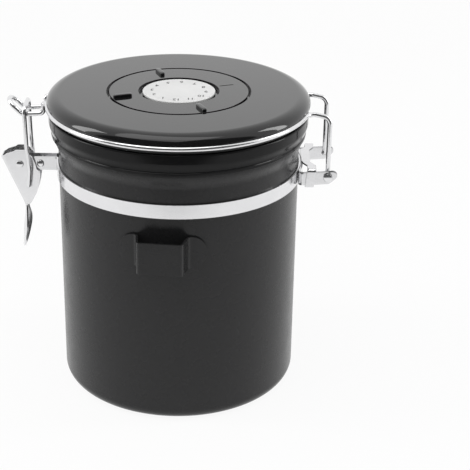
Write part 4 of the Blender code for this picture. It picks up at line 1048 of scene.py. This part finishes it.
class CANISTER_OT_month_ring(bpy.types.Operator):
    """Turn the month ring, raise its three finger ribs and cut its pointer line"""

    bl_idname = "canister.month_ring"
    bl_label = "Month ring"

    rib_angles: StringProperty(name="Rib angles", description="Where the ribs stand, in degrees",
                               default="112 202 294")
    mark_angle: angle("Mark angle", "Where the pointer line lies", 21.3)

    def execute(self, context):
        sizes = context.scene.canister_lid
        top, bottom = LID_TOP, LOW["date_ring"][2]
        radius = HIGH["date_ring"][0] - sizes.ring_inset
        flange = bottom + sizes.ring_flange
        profile = ring_section([
            (sizes.dial_mouth, top), (radius, top), (radius - sizes.undercut, bottom),
            (sizes.flange_inner, bottom), (sizes.flange_inner, flange),
            (sizes.dial_mouth + sizes.undercut, flange)], RING_EDGES)
        made = turned("month_ring", profile, context.scene.canister_vessel.segments, closed=True)
        ribs = []
        for degrees in self.rib_angles.split():
            rib = bar("rib", (sizes.rib_inner, -sizes.rib_half, top - sizes.mark_depth),
                      (sizes.rib_outer, sizes.rib_half, top + sizes.rib_height),
                      power=0.42, steps=32)
            rib.data.transform(Matrix.Rotation(math.radians(float(degrees)), 4, "Z"))
            ribs.append(rib)
        cut(made, ribs, "UNION")
        mark = bar("mark", (sizes.mark_inner, -sizes.mark_width / 2, top - sizes.mark_depth),
                   (sizes.mark_outer, sizes.mark_width / 2, top + sizes.mark_depth), steps=16)
        mark.data.transform(Matrix.Rotation(self.mark_angle, 4, "Z"))
        cut(made, [mark])
        finish(made, "month_ring", "gloss_plastic", "gloss_black_plastic", "date_ring", sharp=30)
        return {"FINISHED"}


class CANISTER_OT_dial(bpy.types.Operator):
    """Turn the white dial and print the plain numbers 1 to 12 round it"""

    bl_idname = "canister.dial"
    bl_label = "Dial"

    def execute(self, context):
        sizes = context.scene.canister_lid
        high = HIGH["dial_plate"]
        profile = disc_section("dial_plate", DIAL_EDGES, 6)
        inner = np.linspace(0, high[0] - DIAL_SMOOTH, 6)
        inner = np.stack([inner, np.full_like(inner, high[2])], axis=1)
        profile = np.concatenate([inner, profile[1:]])
        made = turned("dial", profile, context.scene.canister_vessel.segments)
        finish(made, "lid", "dial_card", "white_dial", "dial_plate")
        working = bmesh.new()
        for number in range(1, 13):
            data = bpy.data.curves.new("number", "FONT")
            data.body = str(number)
            data.size = sizes.number_size
            data.extrude = INK_DEPTH
            data.resolution_u = 4
            data.align_x = data.align_y = "CENTER"
            data.offset = INK_SPREAD
            written = placed("number", data)
            mesh = resolved(written)
            turn = math.radians(-90 - 30 * number) - sizes.number_turn
            place = (sizes.number_circle * math.cos(turn), sizes.number_circle * math.sin(turn),
                     high[2] + INK_LIFT)
            mesh.transform(Matrix.Translation(place) @ Matrix.Rotation(math.pi, 4, "Z"))
            working.from_mesh(mesh)
            bpy.data.objects.remove(written, do_unlink=True)
        bmesh.ops.remove_doubles(working, verts=working.verts, dist=2 * TINY)
        printed = bpy.data.meshes.new("dial_numbers")
        working.to_mesh(printed)
        working.free()
        finish(placed("dial_numbers", printed), "lid", "dial_ink", "satin_black_plastic")
        return {"FINISHED"}


class CANISTER_OT_plug(bpy.types.Operator):
    """Turn the plug under the lid with its valve seat, the gasket and the slotted screen"""

    bl_idname = "canister.plug"
    bl_label = "Plug, gasket and screen"

    def execute(self, context):
        sizes = context.scene.canister_lid
        segments = context.scene.canister_vessel.segments
        low, high = LOW["lid_insert"], HIGH["lid_insert"]
        seal_low, seal_high = LOW["lid_gasket"], HIGH["lid_gasket"]
        skin, seat = sizes.plug_skin, low[2] + sizes.plug_skin
        flange = high[2] - sizes.plug_flange
        part = np.linspace(0, 1, 28)
        fall = (seal_low[2] - low[2]) * (1 - (1 - part) ** BOWL_POWER)
        curve = np.stack([sizes.plug - (sizes.plug - sizes.plug_flat) * part, seal_low[2] - fall],
                         axis=1)
        wall, thick, rise = sizes.seat_wall, 1.0 * MM, 1.2 * MM
        inside = rounded([(0, seat), (wall - thick, seat), (wall - thick, seat + rise),
                          (wall, seat + rise), (wall, seat), (sizes.plug_flat - skin / 2, seat)],
                         PLUG_EDGE, 3)
        bowl = (curve + (-skin / 2, skin))[::-1]
        rim = [(sizes.plug - skin, high[2]), (high[0], high[2]), (high[0], flange),
               (sizes.plug, flange)]
        profile = distinct(np.concatenate([inside, bowl[1:-2], rim, curve, [(0, low[2])]]))
        made = turned("plug", profile, segments)
        ports = []
        for index in range(PORTS):
            turn = math.radians(360 / PORTS * index)
            place = Matrix.Translation((sizes.port_circle * math.cos(turn),
                                        sizes.port_circle * math.sin(turn), 0))
            ports.append(peg(sizes.port, low[2] - thick, seat + rise, place, sides=24))
        cut(made, ports)
        finish(made, "lid", "moulded_plastic", "satin_black_plastic", "lid_insert")
        within = sizes.plug + GAP
        section = ring_section([(within, seal_high[2]), (seal_high[0], seal_high[2]),
                                (seal_high[0], seal_low[2]), (within, seal_low[2])], SEAL_EDGE, 6)
        gasket = turned("gasket", section, segments, closed=True)
        finish(gasket, "lid", "silicone", "black_silicone", "lid_gasket")
        self.screen(sizes)
        return {"FINISHED"}

    def screen(self, sizes):
        """A disc with rounded edges, five slots cut through it by rounded bars."""
        low, high = LOW["valve_screen"], HIGH["valve_screen"]
        made = turned("screen", disc_section("valve_screen", PLUG_EDGE, 5), 96)
        slots, past = [], 2 * MM
        for index, reach in enumerate(SLOT_SHARES):
            middle = sizes.slot_pitch * (index - len(SLOT_SHARES) // 2)
            half = sizes.slot_half * reach
            slots.append(bar("slot", (-half, middle - sizes.slot_width / 2, low[2] - past),
                             (half, middle + sizes.slot_width / 2, high[2] + past),
                             power=0.1, steps=14))
        cut(made, slots)
        finish(made, "lid", "polished_steel", "polished_steel", "valve_screen")


# Stage

def shining(name, base, stage):
    """A plain matt surface, shown by a share as pure light to the camera and to mirrors: white, but
    dark in mirrors far in front, where a real room is darker."""
    made = Finish(name)
    made.clouded(made.noise(scale=3), base, amount=0.01)
    made.set(Roughness=0.9)
    rays = made.add("ShaderNodeLightPath").outputs
    along = made.add("ShaderNodeSeparateXYZ", {0: made.place}).outputs["Y"]
    near = made.spread(along, (stage.dark_from, stage.white_to), (stage.front_level, 1.0),
                       interpolation_type="SMOOTHSTEP")
    seen = made.combine("MAXIMUM", rays["Is Camera Ray"], rays["Is Transmission Ray"])
    level = made.combine("MAXIMUM", near, seen)
    shown = made.combine("MULTIPLY", seen, stage.glow)
    amount = made.combine("MAXIMUM", shown, rays["Is Glossy Ray"])
    light = made.add("ShaderNodeEmission", {"Strength": level}).outputs[0]
    mix = made.add("ShaderNodeMixShader", {0: amount, 1: made.shader.outputs[0], 2: light})
    made.fill(made.tree.nodes["Material Output"], {"Surface": mix.outputs[0]})
    return made.material


def lamp(name, place, size, power):
    """A soft rectangular lamp aimed at the middle of the piece."""
    data = bpy.data.lights.new(name, "AREA")
    data.shape = "RECTANGLE"
    data.size, data.size_y = size
    data.energy = power
    turn = (Vector(place) - Vector(LAMP_AIM)).to_track_quat("Z", "Y")
    placed(name, data).matrix_world = Matrix.Translation(place) @ turn.to_matrix().to_4x4()


class CANISTER_OT_stage(bpy.types.Operator):
    """Set up the pale floor, the room's light, the lamps and the camera"""

    bl_idname = "canister.stage"
    bl_label = "Stage"

    def execute(self, context):
        stage = context.scene.canister_stage
        line = rounded(FLOOR_LINE, FLOOR_BEND, 24)
        across = np.linspace(-FLOOR_HALF, FLOOR_HALF, 9)
        grid = np.stack([np.broadcast_to(across, (len(line), 9)),
                         np.repeat(line[:, :1], 9, axis=1), np.repeat(line[:, 1:], 9, axis=1)],
                        axis=-1)
        floor = surface("floor", [grid])
        floor.data.shade_smooth()
        floor.data.materials.append(shining("floor", context.scene.canister_colours.floor, stage))
        self.room(context.scene, stage)
        for name, place, size, power, part in LAMPS:
            lamp(name, place, size, getattr(stage, power) * part)
        camera = placed("camera", bpy.data.cameras.new("camera"))
        camera.data.lens = stage.lens
        camera.data.sensor_width = SENSOR_WIDTH
        camera.data.sensor_fit = "HORIZONTAL"
        camera.data.clip_start = NEAR_CLIP
        pitch, roll = stage.pitch, stage.roll
        right = np.array([1.0, 0, 0])
        up = np.array([0, math.sin(pitch), math.cos(pitch)])
        forward = np.array([0, math.cos(pitch), -math.sin(pitch)])
        leaned = right * math.cos(roll) + up * math.sin(roll)
        raised = up * math.cos(roll) - right * math.sin(roll)
        place = Matrix.Identity(4)
        for row in range(3):
            place[row][:3] = leaned[row], raised[row], -forward[row]
            place[row][3] = stage.camera_place[row]
        camera.matrix_world = place
        context.scene.camera = camera
        context.scene.view_settings.view_transform = "Standard"
        return {"FINISHED"}

    def room(self, scene, stage):
        """Plain light for matt surfaces, white to the camera, and dark in front for mirrors."""
        scene.world = bpy.data.worlds.new("room")
        nodes = NodeTree(scene.world)
        nodes.tree.nodes.clear()
        rays = nodes.add("ShaderNodeLightPath").outputs
        place = nodes.add("ShaderNodeTexCoord").outputs["Generated"]
        along = nodes.add("ShaderNodeSeparateXYZ", {0: place}).outputs["Y"]
        level = nodes.spread(along, ROOM_EDGE, (stage.front_level, 1.0),
                             interpolation_type="SMOOTHSTEP")
        plain, mirrored, white = [
            nodes.add("ShaderNodeBackground", {"Color": (1, 1, 1, 1), "Strength": strength})
            .outputs[0] for strength in (stage.ambient, level, 1.0)]
        seen = plain
        for ray, light in (("Is Glossy Ray", mirrored), ("Is Camera Ray", white),
                           ("Is Transmission Ray", white)):
            seen = nodes.add("ShaderNodeMixShader", {0: rays[ray], 1: seen, 2: light}).outputs[0]
        nodes.add("ShaderNodeOutputWorld", {"Surface": seen})


OPERATORS = (
    CANISTER_OT_finishes, CANISTER_OT_can, CANISTER_OT_collar, CANISTER_OT_band, CANISTER_OT_holder,
    CANISTER_OT_hinge, CANISTER_OT_lid_wire, CANISTER_OT_pins, CANISTER_OT_lever, CANISTER_OT_bail,
    CANISTER_OT_lid, CANISTER_OT_month_ring, CANISTER_OT_dial, CANISTER_OT_plug, CANISTER_OT_stage)

GROUPS = {"canister_vessel": CanisterVesselSizes, "canister_wires": CanisterWireSizes,
          "canister_sheets": CanisterSheetSizes, "canister_lid": CanisterLidSizes,
          "canister_colours": CanisterColours, "canister_stage": CanisterStage}


class CANISTER_PT_panel(bpy.types.Panel):
    """Lists the canister's pieces and colours"""

    bl_label = "Coffee Canister"
    bl_space_type = "VIEW_3D"
    bl_region_type = "UI"
    bl_category = "Canister"

    def draw(self, context):
        for operator in OPERATORS:
            self.layout.operator(operator.bl_idname)
        for name in CanisterColours.__annotations__:
            self.layout.prop(context.scene.canister_colours, name)


def register():
    for group in GROUPS.values():
        bpy.utils.register_class(group)
    for name, group in GROUPS.items():
        setattr(bpy.types.Scene, name, PointerProperty(type=group))
    for operator in OPERATORS:
        bpy.utils.register_class(operator)
    bpy.utils.register_class(CANISTER_PT_panel)


def unregister():
    bpy.utils.unregister_class(CANISTER_PT_panel)
    for operator in reversed(OPERATORS):
        bpy.utils.unregister_class(operator)
    for name, group in GROUPS.items():
        delattr(bpy.types.Scene, name)
        bpy.utils.unregister_class(group)


def main():
    register()
    bpy.ops.canister.finishes()
    bpy.ops.canister.can()
    bpy.ops.canister.collar()
    bpy.ops.canister.band()
    bpy.ops.canister.holder()
    bpy.ops.canister.hinge()
    bpy.ops.canister.lid_wire()
    bpy.ops.canister.pins()
    bpy.ops.canister.lever()
    bpy.ops.canister.bail()
    bpy.ops.canister.lid()
    bpy.ops.canister.month_ring()
    bpy.ops.canister.dial()
    bpy.ops.canister.plug()
    bpy.ops.canister.stage()


if __name__ == "__main__":
    main()
